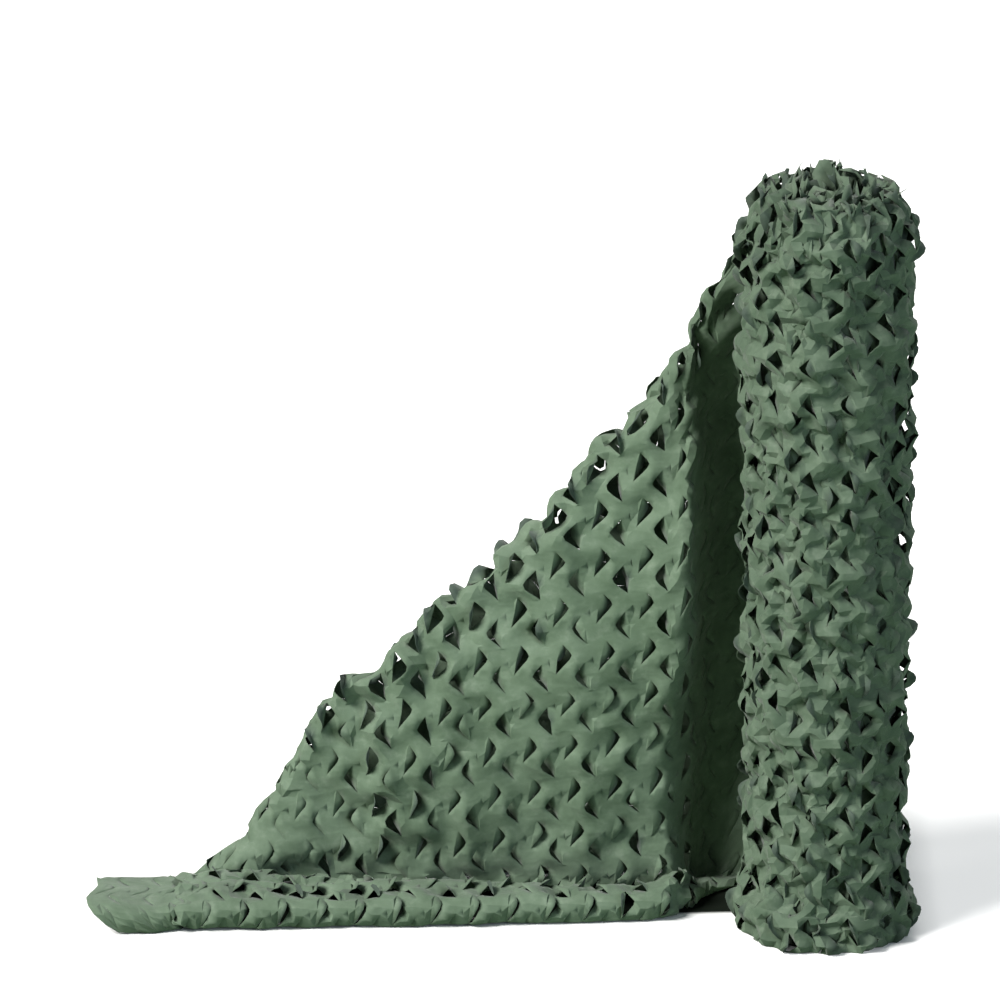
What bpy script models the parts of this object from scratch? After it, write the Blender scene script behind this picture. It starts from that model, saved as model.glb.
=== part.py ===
"""Camouflage netting: an upright roll of die-cut cloth with its loose end pulled out to one side.

Metres, +Z up.  The roll stands on its end at the origin and the loose end runs towards -X.
The loose end leaves the back of the roll, stands as a tall face with its lower part lying on the
ground as a toe, and falls over a sloping crest so that its upper part hangs behind the face.
"""

import math

import bmesh
import bpy
from mathutils import Vector

# ---- the cloth -----------------------------------------------------------------------------
NET_WIDTH = 1.500            # width of the netting, and so the height of the roll
CLOTH_T = 0.0026             # thickness of the loose sheet with its raised leaves pressed flat
ROLL_CLEAR = 0.0009          # room left between the sheet and the roll it unwinds from
FOOT_CLEAR = 0.022           # room left between the toe and the side of the roll
ROLL_COLOUR = (0.100, 0.165, 0.100)
LOOSE_COLOUR = (0.105, 0.172, 0.105)

# ---- grid of the loose sheet ---------------------------------------------------------------
TOE_ROWS = 8                 # across the toe and its bend
FACE_ROWS = 12               # up the standing face
CREST_ROWS = 6               # over the crest
FLAP_ROWS = 12               # down the hidden flap and along the ground behind
STATION_NEAR = 0.018         # spacing of the sections where the sheet lies on the roll
STATION_FAR = 0.040          # spacing of the sections along the rest of the loose end

# ---- the roll ------------------------------------------------------------------------------
ROLL_STEPS = 60              # facets round the roll
BACK_RADIUS = 0.1740         # radius of the straight strip at the back where the sheet leaves
TURN_STEP = 0.0060           # height of the step where the outer turn leaves the roll
TURN_STEP_AT = 101.0         # degrees round from +X
ROLL_LEAN = -0.012           # sideways lean of the roll's top along X
ROLL_TWIST = 0.75            # radians by which the lumps wind round from foot to top

ROLL_PROFILE = (
    # z, radius
    {"z": 0.000, "r": 0.1780},
    {"z": 0.020, "r": 0.1810},
    {"z": 0.055, "r": 0.1820},
    {"z": 0.110, "r": 0.1690},
    {"z": 0.200, "r": 0.1640},
    {"z": 0.320, "r": 0.1650},
    {"z": 0.450, "r": 0.1690},
    {"z": 0.600, "r": 0.1700},
    {"z": 0.760, "r": 0.1705},
    {"z": 0.930, "r": 0.1710},
    {"z": 1.080, "r": 0.1740},
    {"z": 1.220, "r": 0.1770},
    {"z": 1.330, "r": 0.1760},
    {"z": 1.400, "r": 0.1710},
    {"z": 1.445, "r": 0.1660},
)

ROLL_TOP = (
    # rings that close the ruffled, slightly telescoped top, from the rim inwards
    {"share": 0.94, "z": 1.476},
    {"share": 0.82, "z": 1.508},
    {"share": 0.63, "z": 1.533},
    {"share": 0.40, "z": 1.546},
    {"share": 0.17, "z": 1.548},
)

ROLL_LUMPS = (
    # name, cycles round, cycles up, phase, depth
    {"round": 2, "up": 0.8, "phase": 0.4, "depth": 0.0030},
    {"round": 3, "up": -1.6, "phase": 2.1, "depth": 0.0026},
    {"round": 5, "up": 3.7, "phase": 4.0, "depth": 0.0022},
    {"round": 7, "up": -5.3, "phase": 1.2, "depth": 0.0018},
)

# ---- the loose end, one row for each section -----------------------------------------------
# out: distance from the roll's axis along -X        toe: length lying on the ground in front
# foot_y, mid_y, crest_y: where the face stands at the ground, half way up and at the crest
# crest_z: height of the crest                       gap: depth of the fold over the crest
# spread: gap between face and flap at the ground    flap_z: lowest point of the hanging flap
# tail: length of the flap lying on the ground behind
SECTIONS = (
    {"out": -0.030, "toe": 0.000, "foot_y": 0.176, "mid_y": 0.176, "crest_y": 0.176,
     "crest_z": 1.484, "gap": 0.014, "spread": 0.014, "flap_z": 1.462, "tail": 0.000},
    {"out": 0.030, "toe": 0.000, "foot_y": 0.176, "mid_y": 0.176, "crest_y": 0.178,
     "crest_z": 1.474, "gap": 0.016, "spread": 0.018, "flap_z": 1.425, "tail": 0.000},
    {"out": 0.090, "toe": 0.000, "foot_y": 0.168, "mid_y": 0.166, "crest_y": 0.178,
     "crest_z": 1.430, "gap": 0.030, "spread": 0.040, "flap_z": 1.290, "tail": 0.000},
    {"out": 0.150, "toe": 0.014, "foot_y": 0.150, "mid_y": 0.128, "crest_y": 0.168,
     "crest_z": 1.410, "gap": 0.044, "spread": 0.066, "flap_z": 1.050, "tail": 0.000},
    {"out": 0.185, "toe": 0.068, "foot_y": 0.142, "mid_y": 0.109, "crest_y": 0.160,
     "crest_z": 1.396, "gap": 0.050, "spread": 0.078, "flap_z": 0.870, "tail": 0.000},
    {"out": 0.200, "toe": 0.122, "foot_y": 0.138, "mid_y": 0.104, "crest_y": 0.158,
     "crest_z": 1.376, "gap": 0.052, "spread": 0.082, "flap_z": 0.800, "tail": 0.000},
    {"out": 0.260, "toe": 0.142, "foot_y": 0.132, "mid_y": 0.094, "crest_y": 0.150,
     "crest_z": 1.243, "gap": 0.060, "spread": 0.096, "flap_z": 0.520, "tail": 0.000},
    {"out": 0.320, "toe": 0.152, "foot_y": 0.132, "mid_y": 0.092, "crest_y": 0.148,
     "crest_z": 1.135, "gap": 0.064, "spread": 0.104, "flap_z": 0.230, "tail": 0.000},
    {"out": 0.370, "toe": 0.158, "foot_y": 0.133, "mid_y": 0.094, "crest_y": 0.148,
     "crest_z": 1.062, "gap": 0.066, "spread": 0.108, "flap_z": 0.030, "tail": 0.000},
    {"out": 0.450, "toe": 0.168, "foot_y": 0.136, "mid_y": 0.100, "crest_y": 0.150,
     "crest_z": 0.950, "gap": 0.066, "spread": 0.112, "flap_z": 0.000, "tail": 0.085},
    {"out": 0.590, "toe": 0.186, "foot_y": 0.142, "mid_y": 0.112, "crest_y": 0.156,
     "crest_z": 0.768, "gap": 0.064, "spread": 0.114, "flap_z": 0.000, "tail": 0.140},
    {"out": 0.710, "toe": 0.198, "foot_y": 0.147, "mid_y": 0.122, "crest_y": 0.160,
     "crest_z": 0.652, "gap": 0.062, "spread": 0.112, "flap_z": 0.000, "tail": 0.125},
    {"out": 0.790, "toe": 0.206, "foot_y": 0.150, "mid_y": 0.126, "crest_y": 0.160,
     "crest_z": 0.572, "gap": 0.060, "spread": 0.108, "flap_z": 0.000, "tail": 0.115},
    {"out": 0.870, "toe": 0.213, "foot_y": 0.154, "mid_y": 0.130, "crest_y": 0.160,
     "crest_z": 0.497, "gap": 0.058, "spread": 0.102, "flap_z": 0.000, "tail": 0.105},
    {"out": 0.950, "toe": 0.218, "foot_y": 0.158, "mid_y": 0.136, "crest_y": 0.162,
     "crest_z": 0.427, "gap": 0.056, "spread": 0.094, "flap_z": 0.000, "tail": 0.095},
    {"out": 1.020, "toe": 0.220, "foot_y": 0.160, "mid_y": 0.142, "crest_y": 0.164,
     "crest_z": 0.374, "gap": 0.052, "spread": 0.086, "flap_z": 0.000, "tail": 0.085},
    {"out": 1.080, "toe": 0.220, "foot_y": 0.160, "mid_y": 0.148, "crest_y": 0.170,
     "crest_z": 0.276, "gap": 0.046, "spread": 0.074, "flap_z": 0.000, "tail": 0.075},
    {"out": 1.140, "toe": 0.216, "foot_y": 0.158, "mid_y": 0.152, "crest_y": 0.172,
     "crest_z": 0.165, "gap": 0.040, "spread": 0.060, "flap_z": 0.000, "tail": 0.065},
    {"out": 1.210, "toe": 0.208, "foot_y": 0.156, "mid_y": 0.154, "crest_y": 0.168,
     "crest_z": 0.086, "gap": 0.034, "spread": 0.048, "flap_z": 0.000, "tail": 0.050},
    {"out": 1.300, "toe": 0.196, "foot_y": 0.152, "mid_y": 0.152, "crest_y": 0.158,
     "crest_z": 0.036, "gap": 0.020, "spread": 0.026, "flap_z": 0.000, "tail": 0.035},
    {"out": 1.370, "toe": 0.188, "foot_y": 0.146, "mid_y": 0.146, "crest_y": 0.150,
     "crest_z": 0.026, "gap": 0.018, "spread": 0.020, "flap_z": 0.000, "tail": 0.024},
    {"out": 1.425, "toe": 0.172, "foot_y": 0.136, "mid_y": 0.136, "crest_y": 0.138,
     "crest_z": 0.026, "gap": 0.018, "spread": 0.018, "flap_z": 0.000, "tail": 0.016},
)
FOOT_RADIUS = 0.022          # bend where the face meets the ground
END_LEAN = 0.065             # how far the end edge runs on past its front corner

# Named folds of the standing face and the toe: a ridge (+) or trough (-) between two places
# given as distance out and height (negative height lies on the toe).
FOLDS = (
    {"out_a": 1.215, "up_a": 0.055, "out_b": 1.010, "up_b": 0.120, "width": 0.030, "rise": 0.014},
    {"out_a": 1.180, "up_a": 0.010, "out_b": 0.985, "up_b": 0.050, "width": 0.028, "rise": -0.012},
    {"out_a": 1.060, "up_a": 0.270, "out_b": 0.900, "up_b": 0.120, "width": 0.045, "rise": -0.012},
    {"out_a": 0.930, "up_a": 0.380, "out_b": 0.760, "up_b": 0.100, "width": 0.050, "rise": 0.012},
    {"out_a": 0.740, "up_a": 0.520, "out_b": 0.560, "up_b": 0.080, "width": 0.050, "rise": -0.012},
    {"out_a": 0.560, "up_a": 0.700, "out_b": 0.420, "up_b": 0.120, "width": 0.050, "rise": 0.013},
    {"out_a": 0.420, "up_a": 0.900, "out_b": 0.320, "up_b": 0.150, "width": 0.045, "rise": -0.010},
    {"out_a": 0.300, "up_a": 1.050, "out_b": 0.250, "up_b": 0.100, "width": 0.036, "rise": 0.010},
)

# Small waves along the foot of the face, where the cloth crumples as it turns on to the ground.
FOOT_WAVES = (
    {"length": 0.110, "phase": 0.3, "rise": 0.0050},
    {"length": 0.067, "phase": 1.9, "rise": 0.0040},
)


def smooth(x):
    """Ease from 0 to 1 as x goes from 0 to 1."""
    x = min(max(x, 0.0), 1.0)
    return x * x * (3.0 - 2.0 * x)


def slope(rows, key, column, i):
    """Finite-difference slope of a table's column at row i."""
    if i == 0 or i == len(rows) - 1:
        return None
    before = (rows[i][column] - rows[i - 1][column]) / (rows[i][key] - rows[i - 1][key])
    after = (rows[i + 1][column] - rows[i][column]) / (rows[i + 1][key] - rows[i][key])
    if before * after <= 0.0:
        return 0.0
    return 2.0 * before * after / (before + after)


def look_up(rows, key, column, x):
    """Read a table's column at x along a smooth curve that never overshoots its rows."""
    if x <= rows[0][key]:
        return rows[0][column]
    if x >= rows[-1][key]:
        return rows[-1][column]
    i = 0
    while rows[i + 1][key] < x:
        i += 1
    a = rows[i]
    b = rows[i + 1]
    step = b[key] - a[key]
    t = (x - a[key]) / step
    chord = (b[column] - a[column]) / step
    at_a = slope(rows, key, column, i)
    at_b = slope(rows, key, column, i + 1)
    at_a = chord if at_a is None else at_a
    at_b = chord if at_b is None else at_b
    h00 = (1.0 + 2.0 * t) * (1.0 - t) ** 2
    h10 = t * (1.0 - t) ** 2
    h01 = t * t * (3.0 - 2.0 * t)
    h11 = t * t * (t - 1.0)
    return h00 * a[column] + h10 * step * at_a + h01 * b[column] + h11 * step * at_b


def section(out):
    """Every column of the loose end's table at one distance out."""
    return {name: look_up(SECTIONS, "out", name, out) for name in SECTIONS[0]}


def fold_rise(out, up):
    """Height of the named folds at a place on the face (up > 0) or the toe (up < 0)."""
    total = 0.0
    for f in FOLDS:
        dx = f["out_b"] - f["out_a"]
        dz = f["up_b"] - f["up_a"]
        length = math.hypot(dx, dz)
        along = ((out - f["out_a"]) * dx + (up - f["up_a"]) * dz) / length
        across = ((out - f["out_a"]) * dz - (up - f["up_a"]) * dx) / length
        ends = smooth(along / (0.35 * length)) * smooth((length - along) / (0.35 * length))
        total += f["rise"] * ends * math.exp(-((across / f["width"]) ** 2))
    return total


def foot_wave(out):
    """Height of the crumples along the foot of the face."""
    total = 0.0
    for w in FOOT_WAVES:
        total += w["rise"] * math.sin(2.0 * math.pi * out / w["length"] + w["phase"])
    return total * smooth((out - 0.22) / 0.10) * smooth((1.36 - out) / 0.10)


def clear_of_roll(out, y, z, hug):
    """Keep a point of the sheet clear of the roll, and with hug = 1 lay it on the roll's back."""
    reach = BACK_RADIUS + ROLL_CLEAR + 0.5 * CLOTH_T
    reach += FOOT_CLEAR * smooth((out - 0.06) / 0.07)
    from_axis = out + ROLL_LEAN * z / NET_WIDTH
    if from_axis >= reach:
        return y
    on_roll = math.sqrt(reach * reach - from_axis * from_axis)
    clear = max(y, on_roll)
    return clear + (on_roll - clear) * hug


def face_y(s, share):
    """Depth of the standing face at a share of the crest's height, before its folds."""
    low = s["foot_y"] + (s["mid_y"] - s["foot_y"]) * smooth(share * 2.0)
    high = s["mid_y"] + (s["crest_y"] - s["mid_y"]) * smooth(share * 2.0 - 1.0)
    hug = 1.0 - smooth((s["out"] - 0.02) / 0.08)
    return clear_of_roll(s["out"], low if share < 0.5 else high, share * s["crest_z"], hug)


def front_point(s, length):
    """Place on the toe or the face, `length` above (or, negative, before) the foot."""
    out = s["out"]
    radius = min(FOOT_RADIUS, s["toe"])
    ground = 0.5 * CLOTH_T * smooth(s["toe"] / 0.03)
    rise = fold_rise(out, length)
    if length >= radius:
        y = face_y(s, length / s["crest_z"]) - rise
        return y, length + ground
    below = radius - length
    quarter = 0.5 * math.pi * radius
    near = smooth(1.0 - (below - quarter) / 0.09) if below > quarter else 1.0
    wave = max(foot_wave(out), -0.0020) * near * smooth(below / 0.02)
    if below < quarter:
        angle = below / radius
        y = s["foot_y"] - radius * (1.0 - math.cos(angle))
        z = radius * (1.0 - math.sin(angle))
    else:
        y = s["foot_y"] - radius - (below - quarter)
        z = 0.0
    rise = max(rise, 0.0) + max(wave, 0.0)
    return y - rise * 0.3, z + ground + rise


def back_point(s, length):
    """Place on the flap, `length` down from where the crest's curve ends."""
    top = s["crest_z"] - s["gap"] * 0.5
    radius = min(FOOT_RADIUS, top * 0.6)
    straight = top - radius
    ground = 0.5 * CLOTH_T
    share = min(length / max(straight, 0.001), 1.0)
    lean = s["gap"] + (s["spread"] - s["gap"]) * share
    z = top - length
    base = face_y(s, max(z, 0.0) / s["crest_z"])
    sway = 0.006 * math.sin(7.0 * s["out"] + 1.0) * math.sin(math.pi * share)
    if length <= straight:
        return base + lean + sway, z + ground
    angle = (length - straight) / radius
    if angle < 0.5 * math.pi:
        y = base + lean + radius * (1.0 - math.cos(angle))
        return y, radius * (1.0 - math.sin(angle)) + ground
    return base + lean + radius + (length - straight - 0.5 * math.pi * radius), ground


def front_length(s):
    """Length of the toe and the face up to where the crest's curve begins."""
    return s["crest_z"] - s["gap"] * 0.5


def flap_length(s):
    """Length of the hidden flap, hanging and lying."""
    return s["crest_z"] - s["gap"] * 0.5 - s["flap_z"] + s["tail"]


def section_points(out):
    """The loose end's cross-section at one distance out, from the toe to the flap's free edge."""
    s = section(out)
    points = []
    top = front_length(s)
    split = min(FOOT_RADIUS * 1.6, top * 0.6)
    even = smooth((0.26 - s["crest_z"]) / 0.20)
    for i in range(TOE_ROWS + FACE_ROWS):
        if i < TOE_ROWS:
            place = -s["toe"] + (split + s["toe"]) * i / TOE_ROWS
        else:
            place = split + (top - split) * (i - TOE_ROWS) / FACE_ROWS
        evenly = -s["toe"] + (top + s["toe"]) * i / (TOE_ROWS + FACE_ROWS)
        points.append(front_point(s, place + (evenly - place) * even))
    start_y, start_z = front_point(s, top)
    end_y, end_z = back_point(s, 0.0)
    for i in range(CREST_ROWS):
        angle = math.pi * i / CREST_ROWS
        y = start_y + (end_y - start_y) * 0.5 * (1.0 - math.cos(angle))
        z = start_z + (end_z - start_z) * i / CREST_ROWS + s["gap"] * 0.5 * math.sin(angle)
        points.append((y, z))
    hang = flap_length(s)
    for i in range(FLAP_ROWS + 1):
        points.append(back_point(s, hang * i / FLAP_ROWS))
    return points


def stations():
    """Distances out at which the loose sheet is cut into sections."""
    out = SECTIONS[0]["out"]
    last = SECTIONS[-1]["out"]
    places = []
    while out < last - 0.6 * STATION_FAR:
        places.append(out)
        out += STATION_NEAR + (STATION_FAR - STATION_NEAR) * smooth((out - 0.05) / 0.25)
    places.append(last)
    return places


def sheet_grid():
    """Middle surface of the loose sheet as rows of points, one row for each section."""
    grid = []
    for out in stations():
        points = section_points(out)
        row = []
        for j, (y, z) in enumerate(points):
            share = j / (TOE_ROWS + FACE_ROWS)
            inward = smooth(1.8 * share) - 0.4 * smooth(2.0 * share - 1.0)
            x = -(out + END_LEAN * inward * smooth((out - 1.20) / 0.22))
            row.append(Vector((x, clear_of_roll(out, y, z, 0.0), z)))
        grid.append(row)
    return grid


def grid_normals(grid):
    """Unit normal of the middle surface at each of its points."""
    normals = []
    for i, row in enumerate(grid):
        line = []
        for j in range(len(row)):
            along = grid[min(i + 1, len(grid) - 1)][j] - grid[max(i - 1, 0)][j]
            across = row[min(j + 1, len(row) - 1)] - row[max(j - 1, 0)]
            line.append(along.cross(across).normalized())
        normals.append(line)
    return normals


def mesh_object(name, verts, faces, finish):
    """Make one named object with its finish, its faces turned outwards."""
    mesh = bpy.data.meshes.new(name)
    mesh.from_pydata([tuple(v) for v in verts], [], faces)
    bm = bmesh.new()
    bm.from_mesh(mesh)
    bmesh.ops.recalc_face_normals(bm, faces=bm.faces)
    bmesh.ops.triangulate(bm, faces=bm.faces)
    bm.to_mesh(mesh)
    bm.free()
    obj = bpy.data.objects.new(name, mesh)
    obj.data.materials.append(finish)
    bpy.context.scene.collection.objects.link(obj)
    return obj


def build_loose_end(finish):
    """The loose end: one thin sheet, thickened either side of its middle surface."""
    grid = sheet_grid()
    normals = grid_normals(grid)
    across = len(grid[0])
    verts = []
    for side in (0.5, -0.5):
        for row, line in zip(grid, normals):
            for point, normal in zip(row, line):
                moved = point + normal * side * CLOTH_T
                verts.append((moved.x, moved.y, max(moved.z, 0.0)))
    half = len(grid) * across
    faces = []
    for i in range(len(grid) - 1):
        for j in range(across - 1):
            a = i * across + j
            quad = (a, a + 1, a + across + 1, a + across)
            faces.append(quad)
            faces.append(tuple(half + k for k in reversed(quad)))
    rim = [j for j in range(across)]
    rim += [i * across + across - 1 for i in range(1, len(grid))]
    rim += [(len(grid) - 1) * across + j for j in range(across - 2, -1, -1)]
    rim += [i * across for i in range(len(grid) - 2, 0, -1)]
    for k, a in enumerate(rim):
        b = rim[(k + 1) % len(rim)]
        faces.append((a, b, half + b, half + a))
    return mesh_object("loose_end", verts, faces, finish)


def away_from_back(angle):
    """0 on the straight strip at the back of the roll, 1 on the rest of its side."""
    away = abs((angle - math.radians(90.0) + math.pi) % (2.0 * math.pi) - math.pi)
    return smooth((away - 0.45) / 0.5)


def lumps(angle, z):
    """How far the roll's surface dips at an angle and height, from 0 to about 9 mm."""
    total = 0.0
    for row in ROLL_LUMPS:
        turn = row["round"] * (angle + ROLL_TWIST * z / NET_WIDTH)
        wave = math.sin(turn + row["phase"] + 2.0 * math.pi * row["up"] * z / NET_WIDTH)
        total += row["depth"] * 0.5 * (1.0 - wave)
    return total * away_from_back(angle)


def ring(radius, z, dips):
    """One ring of the roll: a single turn of a spiral with its step at the back."""
    points = []
    for k in range(ROLL_STEPS):
        angle = 2.0 * math.pi * k / ROLL_STEPS
        turned = (angle - math.radians(TURN_STEP_AT)) % (2.0 * math.pi)
        wound = TURN_STEP * (1.0 - turned / (2.0 * math.pi)) * min(radius / 0.17, 1.0)
        back = min(BACK_RADIUS, radius * 1.02) if z > 1.42 else BACK_RADIUS
        r = back + (radius - back) * away_from_back(angle) - wound
        r -= dips * lumps(angle, z)
        points.append((r * math.cos(angle) + ROLL_LEAN * z / NET_WIDTH, r * math.sin(angle), z))
    return points


def build_roll(finish):
    """The roll: one wound solid standing on its flat end, with a ruffled rounded top."""
    rings = []
    for row in ROLL_PROFILE:
        rings.append(ring(row["r"], row["z"], 1.0 if row["z"] > 0.01 else 0.0))
    rim = ROLL_PROFILE[-1]["r"]
    for row in ROLL_TOP:
        rings.append(ring(rim * row["share"], row["z"], 0.0))
    verts = [point for points in rings for point in points]
    faces = []
    for i in range(len(rings) - 1):
        for k in range(ROLL_STEPS):
            a = i * ROLL_STEPS + k
            b = i * ROLL_STEPS + (k + 1) % ROLL_STEPS
            faces.append((a, b, b + ROLL_STEPS, a + ROLL_STEPS))
    top = (len(rings) - 1) * ROLL_STEPS
    verts.append((ROLL_LEAN, 0.0, ROLL_TOP[-1]["z"] - 0.003))
    verts.append((0.0, 0.0, 0.0))
    for k in range(ROLL_STEPS):
        after = (k + 1) % ROLL_STEPS
        faces.append((top + k, top + after, len(verts) - 2))
        faces.append((after, k, len(verts) - 1))
    return mesh_object("roll", verts, faces, finish)


def cloth_finish(name, colour, roughness):
    """A matt cloth finish."""
    finish = bpy.data.materials.new(name)
    finish.use_nodes = True
    shader = finish.node_tree.nodes["Principled BSDF"]
    shader.inputs["Base Color"].default_value = (*colour, 1.0)
    shader.inputs["Roughness"].default_value = roughness
    shader.inputs["Metallic"].default_value = 0.0
    return finish


def main():
    """Build the roll and its loose end."""
    for obj in list(bpy.data.objects):
        bpy.data.objects.remove(obj, do_unlink=True)
    build_roll(cloth_finish("net_cloth_rolled", ROLL_COLOUR, 0.82))
    build_loose_end(cloth_finish("net_cloth_loose", LOOSE_COLOUR, 0.80))


main()
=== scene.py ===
"""Camouflage netting: an upright roll of die-cut cloth with its loose end pulled out to one side.

The netting is one length of woven cloth with two kinds of V-shaped cut, laid in rows.  A cell
of the pattern is meshed once and repeated by Geometry Nodes over a flat length.  The flat length
is then wound on the roll or draped from it, with the leaf of each cut lifting and curling.

Metres, +Z up.  The roll stands on its end at the origin and the loose end runs towards -X.
Flat cloth is measured by `along`, from the line where it leaves the roll (negative on the roll),
and `across`, from the selvage that stands on the ground.
"""

from __future__ import annotations

import itertools
import logging
import math
from dataclasses import dataclass, replace
from enum import Enum

import bmesh
import bpy
import numpy as np
from bpy.types import Material, Mesh, NodeTree, Object
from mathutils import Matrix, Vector
from mathutils.geometry import delaunay_2d_cdt


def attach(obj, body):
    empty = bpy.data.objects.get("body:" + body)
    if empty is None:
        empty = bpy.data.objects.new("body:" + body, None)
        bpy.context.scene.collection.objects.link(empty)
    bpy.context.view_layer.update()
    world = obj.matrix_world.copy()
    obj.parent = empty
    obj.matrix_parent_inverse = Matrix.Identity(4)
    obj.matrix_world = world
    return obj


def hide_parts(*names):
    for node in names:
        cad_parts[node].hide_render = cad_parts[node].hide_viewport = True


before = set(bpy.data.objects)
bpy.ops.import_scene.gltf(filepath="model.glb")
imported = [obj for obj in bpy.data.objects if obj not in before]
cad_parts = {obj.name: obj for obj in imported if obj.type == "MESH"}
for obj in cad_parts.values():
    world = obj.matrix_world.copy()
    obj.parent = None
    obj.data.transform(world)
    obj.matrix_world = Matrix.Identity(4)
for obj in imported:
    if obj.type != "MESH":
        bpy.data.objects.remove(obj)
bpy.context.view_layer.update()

LOG = logging.getLogger("netting")
logging.basicConfig(level=logging.INFO, format="%(name)s: %(message)s")

NET_WIDTH = 1.500
Array = np.ndarray
Socket = bpy.types.NodeSocket


# ---- Small helpers ----


def smooth(x: Array | float) -> Array | float:
    """Ease from 0 at x = 0 to 1 at x = 1, held beyond both."""
    t = np.clip(x, 0.0, 1.0)
    return t * t * (3.0 - 2.0 * t)


def rising(x: Array, start: float, width: float) -> Array:
    """Ease up from 0 at `start` to 1 over a width."""
    return smooth((x - start) / width)


def falling(x: Array, end: float | Array, width: float) -> Array:
    """Ease down from 1 to 0 at `end` over a width."""
    return smooth((end - x) / width)


def hump(x: Array, width: float) -> Array:
    """A soft bell with this half width, 1 at 0."""
    return np.exp(-((x / width) ** 2))


def mound(out: Array, up: Array, middle: tuple[float, float], size: tuple[float, float]) -> Array:
    """A soft bell over a patch of the face with this middle and half widths, 1 in its middle."""
    return np.exp(-(((out - middle[0]) / size[0]) ** 2) - ((up - middle[1]) / size[1]) ** 2)


@dataclass(frozen=True)
class Column:
    """A named quantity read along a smooth curve through a few rows that never overshoots."""

    places: tuple[float, ...]
    values: tuple[float, ...]

    def slopes(self) -> Array:
        """Work out how steep the curve is.

        Returns:
            Its slope at each row.
        """
        chord = np.diff(self.values) / np.diff(self.places)
        out = np.zeros(len(self.places))
        before, after = chord[:-1], chord[1:]
        same = before * after > 0.0
        both = np.where(same, before + after, 1.0)
        out[1:-1] = np.where(same, 2.0 * before * after / both, 0.0)
        out[0], out[-1] = chord[0], chord[-1]
        return out

    def at(self, x: Array) -> Array:
        """Read the quantity.

        Args:
            x: places to read it at.

        Returns:
            Its value at each place, held beyond the first and last rows.
        """
        px, py, slope = np.asarray(self.places), np.asarray(self.values), self.slopes()
        t = np.clip(x, px[0], px[-1])
        i = np.clip(np.searchsorted(px, t, side="right") - 1, 0, len(px) - 2)
        step = px[i + 1] - px[i]
        s = (t - px[i]) / step
        start = (1 + 2 * s) * (1 - s) ** 2 * py[i] + s * (1 - s) ** 2 * step * slope[i]
        return start + s * s * (3 - 2 * s) * py[i + 1] + s * s * (s - 1) * step * slope[i + 1]


def columns_of(names: str, *rows: tuple[float, ...]) -> dict[str, Column]:
    """Turn a short table into smooth curves, each read along the table's first column."""
    across = list(zip(*rows))
    return {name: Column(across[0], values) for name, values in zip(names.split()[1:], across[1:])}


@dataclass(frozen=True)
class Ripple:
    """A smooth uneven field over the flat cloth, made of plane waves with a fixed seed."""

    seed: int
    shortest: float
    longest: float
    waves: int = 24

    def at(self, along: Array, across: Array) -> Array:
        """Height of the field.

        Args:
            along: places along the cloth.
            across: places across the cloth.

        Returns:
            Heights with a spread of about 1.
        """
        rng = np.random.RandomState(self.seed)
        total = np.zeros(np.shape(along))
        for _ in range(self.waves):
            turn = rng.uniform(0.0, 2.0 * math.pi)
            pitch = rng.uniform(self.shortest, self.longest)
            phase = rng.uniform(0.0, 2.0 * math.pi)
            reach = along * math.cos(turn) + across * math.sin(turn)
            total += np.sin(2.0 * math.pi * reach / pitch + phase)
        return total * math.sqrt(2.0 / self.waves)


def inside_outline(points: Array, outline: Array) -> Array:
    """Which points lie inside a closed outline.

    Args:
        points: the points to test.
        outline: the outline's corners in order.

    Returns:
        True for each point inside.
    """
    inside = np.zeros(len(points), bool)
    x, y = points[:, 0], points[:, 1]
    for (ax, ay), (bx, by) in zip(outline, np.roll(outline, -1, axis=0)):
        if ay != by:
            inside ^= ((ay > y) != (by > y)) & (x < (bx - ax) * (y - ay) / (by - ay) + ax)
    return inside


def put(name: str, data: bpy.types.ID) -> Object:
    """Put a new object in the scene.

    Args:
        name: its name.
        data: its mesh, light or camera.

    Returns:
        The object.
    """
    obj = bpy.data.objects.new(name, data)
    bpy.context.scene.collection.objects.link(obj)
    return obj


# ---- Node trees ----


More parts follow.
